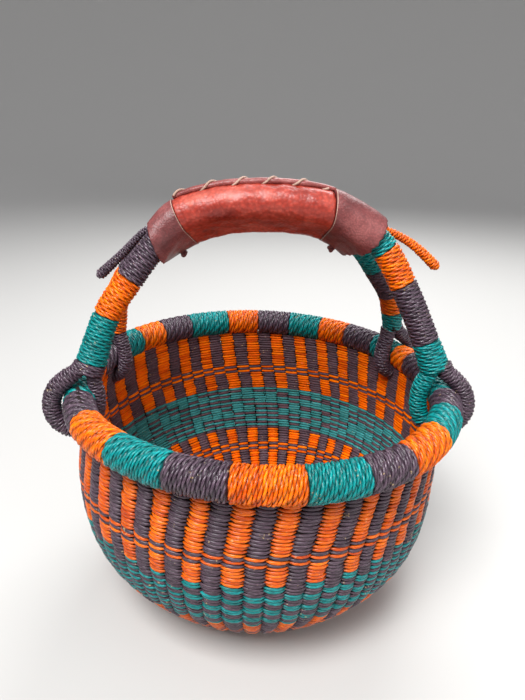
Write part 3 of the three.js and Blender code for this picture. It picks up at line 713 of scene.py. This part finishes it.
def spindles(face, stakes, rows):
    """The spindles of some courses: closed bodies of one form, each of which gets its own
    cell of the unfolded square."""
    row, k = (a.ravel() for a in np.meshgrid(rows, np.arange(stakes), indexing="ij"))
    count, stake, s = len(row), k[:, None, None], COURSES[row][:, None, None]
    t, sides = np.array(face.rings), np.radians(face.section)

    def uneven(amount):
        return amount * rng.uniform(-1, 1, (count, 1, 1))

    size = 1 + uneven(0.12)
    nudge = uneven(0.2)
    slant = (0.26 + uneven(0.2)) * face.slant
    reach = face.reach + uneven(0.07)
    sway = uneven(0.05)
    dip = face.dip * (1 + uneven(0.12))
    height = profile.place(s)[..., 1]
    base = stake_angle(stake, height, stakes) + sway * TURN / stakes
    spacing = stake_angle(stake + 0.5, height, stakes) - stake_angle(stake - 0.5, height, stakes)
    half = 0.5 * spacing * reach

    def placed(t, psi, scale):
        """The points at places t along the spindles and psi round them."""
        t, scale = t[:, None], scale[:, None]
        lift = s + nudge - COURSE * slant * t + SPINDLE_TALL * size * scale * np.sin(psi)
        thick = SPINDLE_THICK * size * scale**0.6
        under = SPINDLE_THICK + dip * np.abs(t) ** DIP_POWER - thick * np.cos(psi)
        if face.inside:
            under = WALL_DEPTH - under
        return skin(base + half * t + 0 * under, lift, under, stake, stakes)

    thin, blunt = face.taper
    grid = placed(t, sides, (1 - np.abs(t) ** thin) ** blunt)
    tips = placed(np.array([-1.0, 1.0]), np.array([0.0]), np.zeros(2))[:, :, 0]
    offset = rng.uniform(0, 300, count)
    psi, along = np.tile(sides, len(t)), np.repeat(t, len(sides))
    grain = np.zeros((count, len(psi) + 2, 3))
    grain[:, :-2] = SPINDLE_GRAIN * np.stack([np.cos(psi), np.sin(psi), along], -1)
    grain[..., 2] += offset[:, None]
    tip_shade, edge_shade = face.shades
    # Painted shade: darker towards the tips, on the back and along the lower edge; tip points fully
    # dark
    sink = tip_shade * np.abs(along) ** 3.5 + 0.5 * (np.cos(psi) < -0.5)
    sink = np.clip(sink + edge_shade * (np.sin(psi) < -0.8), 0, 1)
    sink = np.append(sink, [1, 1])
    color = (inner_color if face.inside else outer_color)(row, k)
    tone = np.clip(rng.normal(0.5, 0.26, count), 0, 1)

    faces, uv = closed_faces(len(t), len(sides)), spindle_uv(len(t), len(sides))
    points = np.concatenate([grid.reshape(count, -1, 3), tips], 1)
    across = math.ceil(math.sqrt(count))
    cell = np.stack([np.arange(count) % across, np.arange(count) // across], -1)
    return Part(
        points.reshape(-1, 3),
        repeated_faces(faces, count, points.shape[1]),
        ((uv[None] * CELL_FILL + CELL_EDGE + cell[:, None, None]) / across).reshape(-1, 4, 2),
        grain.reshape(-1, 3),
        np.repeat(tone, points.shape[1]),
        np.tile(sink, count),
        np.repeat(color, len(faces)),
    )


def weave(face, rows):
    """Every course is a strand that shows once over each stake, as a spindle that dips
    between the stakes at both ends. Near the middle of the base there are fewer stakes."""
    by_stakes = {}
    for row in rows:
        s = COURSES[row]
        stakes = STAKES if s > HALF_FROM else STAKES // (2 if s > QUARTER_FROM else 4)
        by_stakes.setdefault(stakes, []).append(row)
    return [spindles(face, stakes, rows) for stakes, rows in by_stakes.items()]


LOW_ROWS, TEAL_ROWS = range(TEAL_FIRST), range(TEAL_FIRST, TEAL_LAST + 1)
HIGH_ROWS, WALL_ROWS = range(TEAL_LAST + 1, len(COURSES)), range(TEAL_FIRST, len(COURSES))
for piece_name, face, rows, slot, node in (
    ("outer_base_weave", BASE, LOW_ROWS, "straw_orange", "base_outer_weave"),
    ("outer_teal_weave", OUTER, TEAL_ROWS, "straw_teal", "teal_outer_weave"),
    ("outer_upper_weave", OUTER, HIGH_ROWS, "straw_orange", "upper_outer_weave"),
    ("inner_base_weave", INNER, LOW_ROWS, "straw_orange", "base_inner_weave"),
    ("inner_wall_weave", INNER, WALL_ROWS, "straw_grey", "wall_inner_weave"),
):
    # Lighter copies inside (painted light), darker ones on the outer face (painted shade)
    side = "_inside" if face.inside else "_wall"
    dyes = [STRAW[dye + side] for dye in ("orange", "grey", "teal")]
    make(piece_name, weave(face, rows), dyes, "basket", slot, node)

# The section of a rib: places across it, as shares of half the stakes' distance, and depths
RIB_SECTION = ((-1, 3.0), (-0.5, 2.2), (0.5, 2.2), (1, 3.0), (0.6, 3.9), (-0.6, 3.9))


def stake_ribs():
    """Close-set ribs between the two faces of the weave, from the middle up to the rim."""
    s = np.concatenate([np.linspace(1.0, 48, 12), np.linspace(52, profile.length - 1.0, 52)])
    height = profile.place(s)[:, 1]
    points, uvs, grains = [], [], []
    for k in range(STAKES):
        half = 0.5 * (stake_angle(k + 0.5, height) - stake_angle(k - 0.5, height))
        rows = [
            skin(stake_angle(k, height) + share * half, s, depth, k, STAKES)
            for share, depth in RIB_SECTION
        ]
        rib, faces, uv = capped(np.stack(rows, 1))
        points.append(rib)
        uvs.append((uv * [1, 0.9] + [0, k]) * [1, 1 / STAKES])
        grains.append(tube_grain(len(RIB_SECTION), s + 97 * k, 2))
    faces = repeated_faces(faces, STAKES, len(rib))
    return Part(np.vstack(points), faces, np.vstack(uvs), np.vstack(grains), 0.5, 0.5)


# The ribs take the dark shadow straw: painted shade between the spindles
make("stake_ribs", [stake_ribs()], [STRAW["shadow"]], "basket", "straw_natural", "stakes")

# The rim roll

# Each colour of the roll, and the angle in degrees where it starts
RIM_WRAPS = [
    ("orange", -97.3), ("teal", -79.8), ("grey", -64.5), ("orange", -51), ("teal", -35),
    ("grey", -21.5), ("teal", -10), ("grey", 4), ("orange", 20.5), ("teal", 28.5), ("grey", 40),
    ("orange", 53.8), ("teal", 65.5), ("grey", 78.9), ("orange", 92.4), ("teal", 105.5),
    ("grey", 122), ("orange", 135), ("teal", 146.5), ("grey", 157), ("orange", 174),
    ("teal", 184), ("grey", 198), ("orange", 212), ("teal", 230), ("grey", 247.4),
]
SQUEEZE_WIDTH = 7
# How far under the reach of a winding its bed lies, for the thickness of the strand
RIM_BED, ARCH_BED, LOOP_BED, TAIL_BED = 1.45, 1.3, 1.2, 1.0


def rim_axis(s):
    angle = np.asarray(s) / RIM_RADIUS
    out = around(1, angle, 0)
    up = np.broadcast_to([0.0, 0.0, 1.0], out.shape)
    return around(RIM_RADIUS, angle, RIM_HEIGHT), out, up


def roll_reach(s):
    """The roll is drawn in where a loop holds it."""
    angle = np.asarray(s) / RIM_RADIUS
    reach = np.full(np.shape(angle), ROLL_RADIUS)
    for loop in LOOPS.values():
        away = turned_from(angle, math.radians(loop.angle)) * RIM_RADIUS
        reach = reach - loop.squeeze * np.exp(-((away / SQUEEZE_WIDTH) ** 2))
    return reach


def add_rim():
    starts = [math.radians(start) * RIM_RADIUS for _, start in RIM_WRAPS]
    ends = [*starts[1:], math.radians(RIM_WRAPS[0][1] + 360) * RIM_RADIUS]
    for i, (dye, s0, s1) in enumerate(zip([dye for dye, _ in RIM_WRAPS], starts, ends), 1):
        strand = winding(RIM_STRAND, rim_axis, s0, s1, roll_reach, -math.pi / 2, after=settle)
        s = np.linspace(s0 + 0.3, s1 - 0.3, max(4, int((s1 - s0) / 4)))
        bed = plain_tube(*rim_axis(s), roll_reach(s) - RIM_BED, 16)
        bed.points = settle(bed.points)
        make(f"rim_winding_{i:02d}_{dye}", [strand, bed], [STRAW[dye]], "basket",
             "straw_" + dye, f"rim_wrap_{i:02d}_{dye}")


add_rim()

# The handle's arches

# Places are shares of the rim's radius along X and Y, and of the arches' rise
LEGS = {
    "front_left": [(-0.8, -0.172, 0.471), (-0.679, -0.112, 0.657), (-0.565, -0.062, 0.813)],
    "front_right": [(0.857, -0.13, 0.31), (0.727, -0.075, 0.602), (0.576, -0.033, 0.85)],
    "back_left": [(-0.862, 0.239, 0.404), (-0.76, 0.189, 0.602), (-0.641, 0.148, 0.743)],
    "back_right": [(0.768, 0.386, 0.41), (0.652, 0.292, 0.608), (0.506, 0.177, 0.805)],
}
# Under the leather, where the two rods lie side by side: places along X and of height
GRIP = [(-0.42, 0.917), (-0.24, 0.98), (-0.05, 1), (0.14, 0.995), (0.33, 0.958)]
GRIP_SETBACK = 6
ROD_TILT = math.radians(32)
COLLAR_SHARE = 0.068
CROTCH_LEAN, CROTCH_HEIGHT, CROTCH_RADIUS = 5.5, 14, 5.4
# The solids that the windings replace, each with the share of its arch where it starts. The
# first and the last winding run on past the ends of their legs.
ARCH_WRAPS = {
    "front": [
        ("left_teal_wrap", 0), ("left_orange_wrap", 0.094), ("left_grey_wrap", 0.177),
        ("right_teal_wrap", 0.5), ("right_orange_wrap", 0.752), ("right_grey_wrap", 0.828),
        ("right_teal_collar", 0.95),
    ],
    "back": [
        ("left_orange_wrap", 0), ("left_grey_wrap", 0.15), ("right_teal_wrap", 0.5),
        ("right_grey_wrap", 0.8), ("right_orange_wrap", 0.893), ("right_teal_collar", 0.95),
    ],
}
# A grey collar holds the foot of the front left leg, up to here
GREY_COLLAR_END = -1.0
# Between these places along X the leather hides the arches, which are not wound there
HIDDEN = (-48.0, 52.0)
SHORTEST_WINDING = 4


def from_rim(p):
    x, y, z = p
    return np.array([x * RIM_RADIUS + RIM_SWAY, y * RIM_RADIUS, RIM_HEIGHT + z * ARCH_RISE])


def loop_place(angle, out, rise):
    """A place at an angle of the rim, outwards of and above the middle of the roll."""
    out, rise = np.asarray(out, float), np.asarray(rise, float)
    middle = settle(around(RIM_RADIUS, angle, RIM_HEIGHT))
    return middle + np.stack([out * math.cos(angle), out * math.sin(angle), rise], -1)


def leg_foot(name):
    crotch = loop_place(math.radians(LOOPS[name].angle), -CROTCH_LEAN, CROTCH_HEIGHT)
    along = unit(from_rim(LEGS[name][0]) - crotch)
    return crotch + along * (CROTCH_RADIUS + LIMB_RADIUS + 2 * GAP)


def grip_point(row, side):
    """A place of the front rod (side 1) or the back one (side -1) under the leather."""
    x, z = GRIP[row]
    before, after = GRIP[max(row - 1, 0)], GRIP[min(row + 1, len(GRIP) - 1)]
    run, rise = (after[0] - before[0]) * RIM_RADIUS, (after[1] - before[1]) * ARCH_RISE
    along = unit(np.array([run, 0, rise]))
    square = np.array([-along[2], 0, along[0]])
    half = LEG_RADIUS + GAP / 2
    place = from_rim((x, 0, z))
    place[1] += GRIP_SETBACK - side * half * math.cos(ROD_TILT)
    return place + square * side * half * math.sin(ROD_TILT)


def arch_line(left, right, side):
    points = [leg_foot(left), *[from_rim(p) for p in LEGS[left]]]
    points += [grip_point(row, side) for row in range(len(GRIP))]
    points += [from_rim(p) for p in reversed(LEGS[right])]
    return Line(spline([*points, leg_foot(right)]))


def line_axis(line, flatness=0.0):
    """The centre of a route and two square directions. Towards both its ends the second
    is shorter, so that a winding there is flat."""
    def axis(s):
        along = line.along(s)
        across = unit(np.cross([0.0, 1.0, 0.0], along))
        foot = np.minimum(s, line.length - s) / line.length
        flat = 1 - flatness * (1 - smoothstep(foot, -0.01, COLLAR_SHARE))
        return line.place(s), across, np.cross(along, across) * flat[..., None]

    return axis


def add_arch(name, side):
    left, right = name + "_left", name + "_right"
    line = arch_line(left, right, side)
    axis = line_axis(line, 0.2)

    def reach(s):
        foot = np.minimum(s, line.length - s) / line.length
        swell = 1 - smoothstep(foot, 0, COLLAR_SHARE)
        end = np.where(s < line.length / 2, LOOPS[left].foot_radius, LOOPS[right].foot_radius)
        return LEG_RADIUS + (end - LEG_RADIUS) * swell

    hidden = [line.at[int(np.argmax(line.points[:, 0] > x))] for x in HIDDEN]
    wraps = ARCH_WRAPS[name]
    starts = [-LOOPS[left].foot_reach, *[share * line.length for _, share in wraps[1:]]]
    ends = [*starts[1:], line.length + LOOPS[right].foot_reach]
    for (wrap, _), s0, s1 in zip(wraps, starts, ends):
        wrap, dye = f"{name}_{wrap}", wrap.split("_")[1]
        materials, parts = [STRAW[dye]], []
        runs = [(s0, min(s1, hidden[0]), 0), (max(s0, hidden[1]), s1, 0)]
        beds = [(s0, s1, 0)]
        if wrap == "front_left_teal_wrap":
            runs = beds = [(s0, GREY_COLLAR_END, 1), (GREY_COLLAR_END, s1, 0)]
            materials.append(STRAW["grey"])
        for low, high, material in runs:
            if high - low > SHORTEST_WINDING:
                phase = rng.uniform(0, TURN)
                parts.append(winding(ARCH_STRAND, axis, low, high, reach, phase, None, material))
        for low, high, material in beds:
            s = np.linspace(low + 0.2, high - 0.2, max(4, int((high - low) / 3)))
            parts.append(plain_tube(*axis(s), reach(s) - ARCH_BED, 16, material=material))
        piece_name = wrap.replace("wrap", "winding").replace("collar", "collar_winding")
        make(piece_name, parts, materials, "handle", "straw_" + dye, wrap)
    return line


rods = [add_arch("front", 1), add_arch("back", -1)]

# The loops round the rim

# From the foot of the leg round the outside of the rim and back up inside: places out from
# the rim's centre and up. The back loops hug the roll.
LOOP_PATH = {
    "front": [
        (-4.4, 25), (-1.6, 20), (4.6, 15.6), (11.4, 9.6), (15, 2), (15.6, -5.5), (13.2, -13),
        (7.8, -18.6), (0.6, -20.8), (-6.4, -18.6), (-11.6, -12.6), (-13.8, -4.5), (-14, 3.5),
        (-12.6, 11), (-11, 18), (-10.6, 25),
    ],
    "back": [
        (-4.4, 25), (-1.6, 20), (4.6, 15.4), (11.2, 9.8), (14.6, 2.5), (14.4, -5), (10.8, -11.4),
        (5, -14.8), (-1.6, -15.2), (-7.6, -12.8), (-12, -8), (-14.2, -1.4), (-14, 5), (-12.6, 12),
        (-11, 18), (-10.6, 25),
    ],
}
# Within this distance of the roll's middle one limb's values pass into the other's
LIMB_BLEND = 8
# Between these heights a limb comes back to the loop's path
OUT_FADE = (8, 24)


def both_limbs(pair, out):
    """A value that goes from the outer limb's to the inner limb's."""
    return pair[1] + (pair[0] - pair[1]) * smoothstep(out, -LIMB_BLEND, LIMB_BLEND)


def add_loop(name, loop):
    belt = Line(spline(LOOP_PATH[name.split("_")[0]], 30))
    angle = math.radians(loop.angle)
    side = np.array([math.cos(angle + TURN / 4), math.sin(angle + TURN / 4), 0.0])

    def axis(s):
        (out, up), (run, climb) = belt.place(s).T, belt.along(s).T
        eased = both_limbs(loop.out, out) * (1 - smoothstep(up, *OUT_FADE))
        rise = np.where(up < 0, both_limbs(loop.drop, out) * up, up)
        e1 = np.stack([climb * math.cos(angle), climb * math.sin(angle), -run], -1)
        return loop_place(angle, out + eased, rise), e1, np.broadcast_to(side, e1.shape)

    def reach(s):
        return both_limbs(loop.limbs, belt.place(s)[:, 0])

    parts = []
    for material, (_, low, high) in enumerate(loop.colors):
        low, high = low * belt.length, high * belt.length
        parts.append(winding(LOOP_STRAND, axis, low, high, reach, material=material))
    s = np.linspace(0, belt.length, 60)
    parts.append(plain_tube(*axis(s), reach(s) - LOOP_BED, 12))
    dyes = [STRAW[dye] for dye, _, _ in loop.colors]
    make(name + "_loop_winding", parts, dyes, "handle", "straw_grey", name + "_loop")


for loop_name, loop_values in LOOPS.items():
    add_loop(loop_name, loop_values)

# Leather

LEATHER_SLACK, SLEEVE_THICK, CUFF_THICK = 0.6, 1.3, 1.7
# The scale at which the materials are read on leather
LEATHER_GRAIN = 0.1
SLEEVE_LEFT, SLEEVE_RIGHT = -0.41 * RIM_RADIUS + RIM_SWAY, 0.312 * RIM_RADIUS + RIM_SWAY
CUFF_LEFT, CUFF_RIGHT = -0.55 * RIM_RADIUS + RIM_SWAY, 0.513 * RIM_RADIUS + RIM_SWAY
# How far the top of a cut edge lies to the right, per millimetre above its middle
SEAM_LEAN = -0.24
WELT_ANGLE = TURN * 11.5 / 14
ROUND = 88


def rod_length_at(line, x):
    """The length along a rod where it passes x, within the grip."""
    across, _, up = line.points.T
    near = (across > -75) & (across < 80) & (up > 200)
    return float(np.interp(x, across[near], line.at[near]))


def belt_outline(x, depth, lean=0.0, sides=ROUND):
    """A belt round both rods at one place along X: its points, the way out and the angle at
    each, and the direction along the grip. It starts at the front and goes down."""
    spots = [rod_length_at(line, x) for line in rods]
    front, back = (line.place(s) for line, s in zip(rods, spots))
    along = unit(sum(line.along(s, 3.0) for line, s in zip(rods, spots)))
    middle, across = (front + back) / 2, front - back
    across = unit(across - along * (across @ along))
    high = np.cross(across, along)
    radius = LEG_RADIUS + GAP + depth
    arc, flat = math.pi * radius, float(np.linalg.norm(front - back))
    # It goes round half the front rod, straight to the back one, round that and back again
    bends = np.cumsum([0, arc / 2, flat, arc, flat, arc / 2])
    spot = np.arange(sides) / sides * (2 * arc + 2 * flat)
    angle = np.interp(spot, bends, np.array([0, 1, 1, 3, 3, 4]) * TURN / 4)
    share = np.interp(spot, bends, [0, 0, 1, 1, 0, 0])[:, None]
    way = np.cos(angle)[:, None] * across - np.sin(angle)[:, None] * high
    place = front + (back - front) * share + way * radius
    offset = place - middle
    place = place + along * (lean * (offset @ high) - offset @ along)[:, None]
    return place, way, angle, along


def wrinkle(points, scale, amount, seed):
    shift = Vector((seed, 0, 0))
    return np.array([amount * noise.noise(Vector(p) * scale + shift) for p in points])


def closed_ring(grid):
    """A tube of rings whose last one joins the first."""
    rings, sides = grid.shape[:2]
    points, faces = grid.reshape(-1, 3), grid_faces(rings + 1, sides) % (rings * sides)
    return Part(points, faces, grid_uv(rings + 1, sides), points * LEATHER_GRAIN, 0.5, 0.0)


def leather_part(x0, x1, steps, thickness, seed, leans, ruffle, flare=0.0, rough=0.0, crown=0.0):
    """A leather tube round both rods, with an inside. leans are those of its two edges;
    ruffle, flare, rough and crown say how wrinkled it is, how wide its second end stands,
    how ragged that end is and how high the top of its first end lies."""
    shares = np.linspace(0, 1, steps)
    shares[1] *= 0.5
    outer, inner = [], []
    for share in shares:
        x = x0 + (x1 - x0) * share
        lean = leans[0] + (leans[1] - leans[0]) * smoothstep(share, 0, 1)
        for wall, rows in ((thickness, outer), (0.0, inner)):
            place, way, _, along = belt_outline(x, LEATHER_SLACK + flare * share + wall, lean)
            if wall:
                lift = crown * (1 - share) * np.clip(way[:, 2], 0, 1)
                place = place + way * (lift + wrinkle(place, 0.16, ruffle, seed))[:, None]
                place = place + way * wrinkle(place, 0.6, ruffle * 0.35, seed + 5)[:, None]
            if rough:
                ragged = wrinkle(place, 0.45, rough, seed + 9) * smoothstep(share, 0.75, 1)
                place = place + along * ragged[:, None]
            rows.append(place)
    return closed_ring(np.stack([*outer, *inner[::-1]]))


def add_leather():
    sleeve = leather_part(SLEEVE_LEFT, SLEEVE_RIGHT, 64, SLEEVE_THICK, seed=2.0,
                          leans=(0.0, SEAM_LEAN), ruffle=0.5)
    make("sleeve_leather", [sleeve], [RED], "handle", "leather_red", "leather_sleeve")
    left = leather_part(SLEEVE_LEFT - GAP, CUFF_LEFT, 26, CUFF_THICK, seed=11.0,
                        leans=(0.0, 0.36), ruffle=0.3, flare=1.0, rough=0.4, crown=0.3)
    right = leather_part(SLEEVE_RIGHT + GAP, CUFF_RIGHT, 36, CUFF_THICK, seed=23.0,
                         leans=(SEAM_LEAN, -0.1), ruffle=0.35, flare=1.8, rough=1.6, crown=1.8)
    for end, cuff in (("left", left), ("right", right)):
        # The cut edge beside the sleeve shows pale
        cuff.material = (np.arange(len(cuff.faces)) < ROUND).astype(int)
        make(end + "_cuff_leather", [cuff], [DARK, PALE], "handle", "leather_dark", end + "_cuff")


add_leather()

WELT_LIFT, WELT_WIDE, WELT_TALL, WELT_STEPS, WELT_SIDES = 1.3, 2.6, 2.1, 70, 14
# The thong's stitches over the welt: their number, their reach to the side and up, and the
# share of one stitch that lies in front
STITCHES, STITCH_SIDE, STITCH_UP, STITCH_FRONT = 5, 2.7, 2.3, 0.42
THONG_RADIUS = 0.72


def add_welt():
    """The folded edge along the sleeve's seam. Gives its places along X, and the middle, the
    way out and the way across at each."""
    xs = np.linspace(SLEEVE_LEFT + 0.5, SLEEVE_RIGHT - 0.5, WELT_STEPS)
    psi = np.arange(WELT_SIDES) * TURN / WELT_SIDES
    fold = 0.35 * np.cos(2 * psi + 0.9)
    rows, course = [], []
    depth = LEATHER_SLACK + SLEEVE_THICK + WELT_LIFT
    for i, x in enumerate(xs):
        places, ways, angle, along = belt_outline(x, depth, sides=ROUND * 4)
        j = int(np.argmin(np.abs(angle - WELT_ANGLE)))
        way = ways[j]
        across = np.cross(along, way)
        wave = 0.5 * math.sin(x * 0.31) + 0.3 * math.sin(x * 0.73 + 1)
        taper = 0.65 + 0.35 * math.sin(math.pi * i / (len(xs) - 1)) ** 0.4
        middle = places[j] + across * (wave * 0.5)
        wide, tall = WELT_WIDE * taper, (WELT_TALL + 0.16 * wave) * taper
        row = middle + (wide * np.cos(psi) * (1 + 0.1 * fold))[:, None] * across
        rows.append(row + (tall * np.sin(psi) * (1 + 0.25 * fold))[:, None] * way)
        course.append((middle, way, across))
    points, faces, uv = capped(np.stack(rows))
    part = Part(points, faces, uv, points * LEATHER_GRAIN, 0.5, 0.0)
    make("sleeve_welt", [part], [WELT], "handle", "leather_dark")
    return xs, *np.array(course).transpose(1, 0, 2)


def add_lacing(xs, middles, ways, acrosses):
    """The thong crosses over the welt in short slanting stitches and runs on behind it."""
    q = np.linspace(0.02, STITCHES - 0.02, 420)
    share = q - np.floor(q)
    in_front = share / STITCH_FRONT * 0.5
    behind = 0.5 + (share - STITCH_FRONT) / (1 - STITCH_FRONT) * 0.5
    angle = TURN * np.where(share < STITCH_FRONT, in_front, behind)
    x = np.interp(q, [0, STITCHES], [xs[0] + 0.5, xs[-1] - 3])

    def at(values):
        return np.stack([np.interp(x, xs, c) for c in values.T], -1)

    middle, way, across = at(middles), unit(at(ways)), unit(at(acrosses))
    # It starts low on the front, goes over the top and comes down behind
    centre = middle + across * (STITCH_SIDE * np.cos(angle))[:, None]
    centre = centre + way * (STITCH_UP * np.sin(angle))[:, None]
    tangent = unit(np.gradient(centre, axis=0))
    e1 = unit(np.cross(tangent, across + way * 0.01))
    part = plain_tube(centre, e1, np.cross(tangent, e1), THONG_RADIUS, 8, tone=0.5, sink=0.0)
    make("seam_thong", [part], [PALE], "handle", "leather_pale", "seam_lacing")


add_lacing(*add_welt())

# Ends of straw and of thong

# Places as those of the legs
TAILS = {
    "left": ("grey", [(-0.543, 0.05, 0.919), (-0.572, 0.05, 0.894), (-0.616, 0.05, 0.88),
                      (-0.755, 0.07, 0.745), (-0.907, 0.084, 0.602)]),
    "right": ("orange", [(0.535, 0.068, 0.924), (0.565, 0.068, 0.901), (0.636, 0.066, 0.888),
                         (0.78, 0.084, 0.812), (0.935, 0.084, 0.675)]),
}
TAIL_ROOT, TAIL_GROWTH, TAIL_TIP = 2.2, 1.5, 3.2
KNOT_SCALE, KNOT_RADIUS, KNOT_STEPS = (0.56, 0.9, 0.56), 1.05, 120
STEM_LENGTH, STEM_RADIUS = 6.0, 1.1


def add_tail(name, dye, shares):
    line = Line(spline([from_rim(p) for p in shares]))
    axis = line_axis(line)

    def reach(s):
        tip = np.sqrt(np.clip((line.length - s) / TAIL_TIP, 0.02, 1))
        return (TAIL_ROOT + TAIL_GROWTH * np.clip(s / line.length, 0, 1)) * tip

    strand = winding(TAIL_STRAND, axis, 0, line.length, reach)
    s = np.linspace(0.2, line.length - 0.5, 40)
    bed = plain_tube(*axis(s), np.maximum(reach(s) - TAIL_BED, 0.3), 10)
    make(name + "_tail_winding", [strand, bed], [STRAW[dye]], "handle", "straw_" + dye,
         name + "_tail")


for tail_name, tail in TAILS.items():
    add_tail(tail_name, *tail)


def add_knot(name, node, shift):
    """A knot in a thong, which comes down to it out of the cuff. It takes the place of a
    solid, moved by a shift."""
    low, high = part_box(node)
    centre = np.array((low + high) / 2) * 1000 + shift
    t = np.linspace(0, TURN, KNOT_STEPS + 1)[:-1]
    trefoil = [np.sin(t) + 2 * np.sin(2 * t), -np.sin(3 * t), np.cos(t) - 2 * np.cos(2 * t)]
    path = np.stack(trefoil, -1) * KNOT_SCALE + centre
    tangent = unit(np.roll(path, -1, 0) - np.roll(path, 1, 0))
    e1 = unit(np.cross(tangent, [0.3, 1.0, 0.2]))
    knot = closed_ring(round_rings(path, e1, np.cross(tangent, e1), KNOT_RADIUS, 8))
    stem = centre + np.linspace(0, 1, 8)[:, None] * [0, 0, STEM_LENGTH]
    e1, e2 = (np.broadcast_to(v, stem.shape) for v in ([1.0, 0, 0], [0, 1.0, 0]))
    thong = plain_tube(stem, e1, e2, STEM_RADIUS, 8, sink=0.0)
    make(name, [knot, thong], [DARK], "handle", "leather_dark", node)


add_knot("left_thong_knot", "left_thong_end", (-3.0, 0.0, 0.0))
add_knot("right_thong_knot", "right_thong_end", (2.5, 0.0, 0.5))

# The cores take the dark shadow straw: painted shade where they show between turns
for core_name in ("rim_core", "front_arch_core", "back_arch_core"):
    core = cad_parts[core_name].data
    core.materials.clear()
    core.materials.append(STRAW["shadow"])

# Floor, light and camera, in metres

# The floor is flat, then bends up into a round wall: the radius and the height of the bend
FLOOR_RADIUS, FLOOR_BEND, FLOOR_EDGE, FLOOR_SIDES = 2.2, 1.6, 2.6, 96
FLOOR_DROP = 0.0004
# The place of each light, the height that it is turned to, its size and its power
LIGHTS = {
    "key": ((-0.3, -0.75, 1.35), 0.12, 0.6, 31),
    "fill": ((1.0, -0.7, 0.6), 0.12, 1.0, 5.5),
    "back": ((0.3, 0.9, 1.1), 0.16, 0.8, 15),
}
WORLD_COLOR, WORLD_STRENGTH = (0.95, 0.95, 1.0, 1), 0.42
CAMERA_PLACE = (0.0042, -0.342, 0.3085)
CAMERA_PITCH, CAMERA_YAW, CAMERA_ROLL = (math.radians(d) for d in (22.1, -0.13, 0.64))
LENS, SENSOR = 28.8, 36


def add_floor():
    bend = np.radians(np.linspace(0, 90, 17))
    radius = [0.4, 1.2, *(FLOOR_RADIUS + FLOOR_BEND * np.sin(bend)), FLOOR_RADIUS + FLOOR_BEND]
    height = [0.0, 0.0, *(FLOOR_BEND - FLOOR_BEND * np.cos(bend)), FLOOR_EDGE]
    spokes = np.arange(FLOOR_SIDES) * TURN / FLOOR_SIDES
    rings = np.stack([around(r, spokes, z) for r, z in zip(radius, height)])
    points = np.vstack([rings.reshape(-1, 3), [0, 0, 0]])
    faces = [tuple(int(v) for v in f[::-1]) for f in grid_faces(len(rings), FLOOR_SIDES)]
    faces += [(len(points) - 1, j, (j + 1) % FLOOR_SIDES) for j in range(FLOOR_SIDES)]
    mesh = bpy.data.meshes.new("floor")
    mesh.from_pydata([tuple(p) for p in points], [], faces)
    mesh.polygons.foreach_set("use_smooth", np.ones(len(faces), bool))
    floor = link("floor", mesh)
    floor.location.z = -FLOOR_DROP
    n = Nodes("floor")
    n.feed(n.shader, {"Base Color": (0.55, 0.545, 0.53, 1), "Roughness": 0.85})
    mesh.materials.append(n.material)


def add_light(name, place, target_height, size, power):
    data = bpy.data.lights.new(name, "AREA")
    data.size = size
    data.energy = power
    light = link(name, data)
    light.location = place
    light.rotation_mode = "QUATERNION"
    toward = Vector((0, 0, target_height)) - Vector(place)
    light.rotation_quaternion = toward.to_track_quat("-Z", "Y")


def add_camera():
    data = bpy.data.cameras.new("camera")
    data.lens, data.sensor_width = LENS, SENSOR
    level, fall = math.cos(CAMERA_PITCH), -math.sin(CAMERA_PITCH)
    ahead = Vector((math.sin(CAMERA_YAW) * level, math.cos(CAMERA_YAW) * level, fall))
    right = ahead.cross(Vector((0, 0, 1))).normalized()
    up = right.cross(ahead)
    c, s = math.cos(CAMERA_ROLL), math.sin(CAMERA_ROLL)
    turn = Matrix((c * right + s * up, c * up - s * right, -ahead)).transposed().to_4x4()
    camera = link("camera", data)
    camera.matrix_world = Matrix.Translation(CAMERA_PLACE) @ turn
    bpy.context.scene.camera = camera


def add_world():
    world = bpy.data.worlds.new("studio")
    world.use_nodes = True
    background = world.node_tree.nodes["Background"].inputs
    background["Color"].default_value = WORLD_COLOR
    background["Strength"].default_value = WORLD_STRENGTH
    bpy.context.scene.world = world
    bpy.context.scene.view_settings.view_transform = "Standard"


add_floor()
for light_name, light in LIGHTS.items():
    add_light(light_name, *light)
add_world()
add_camera()

bpy.context.view_layer.update()
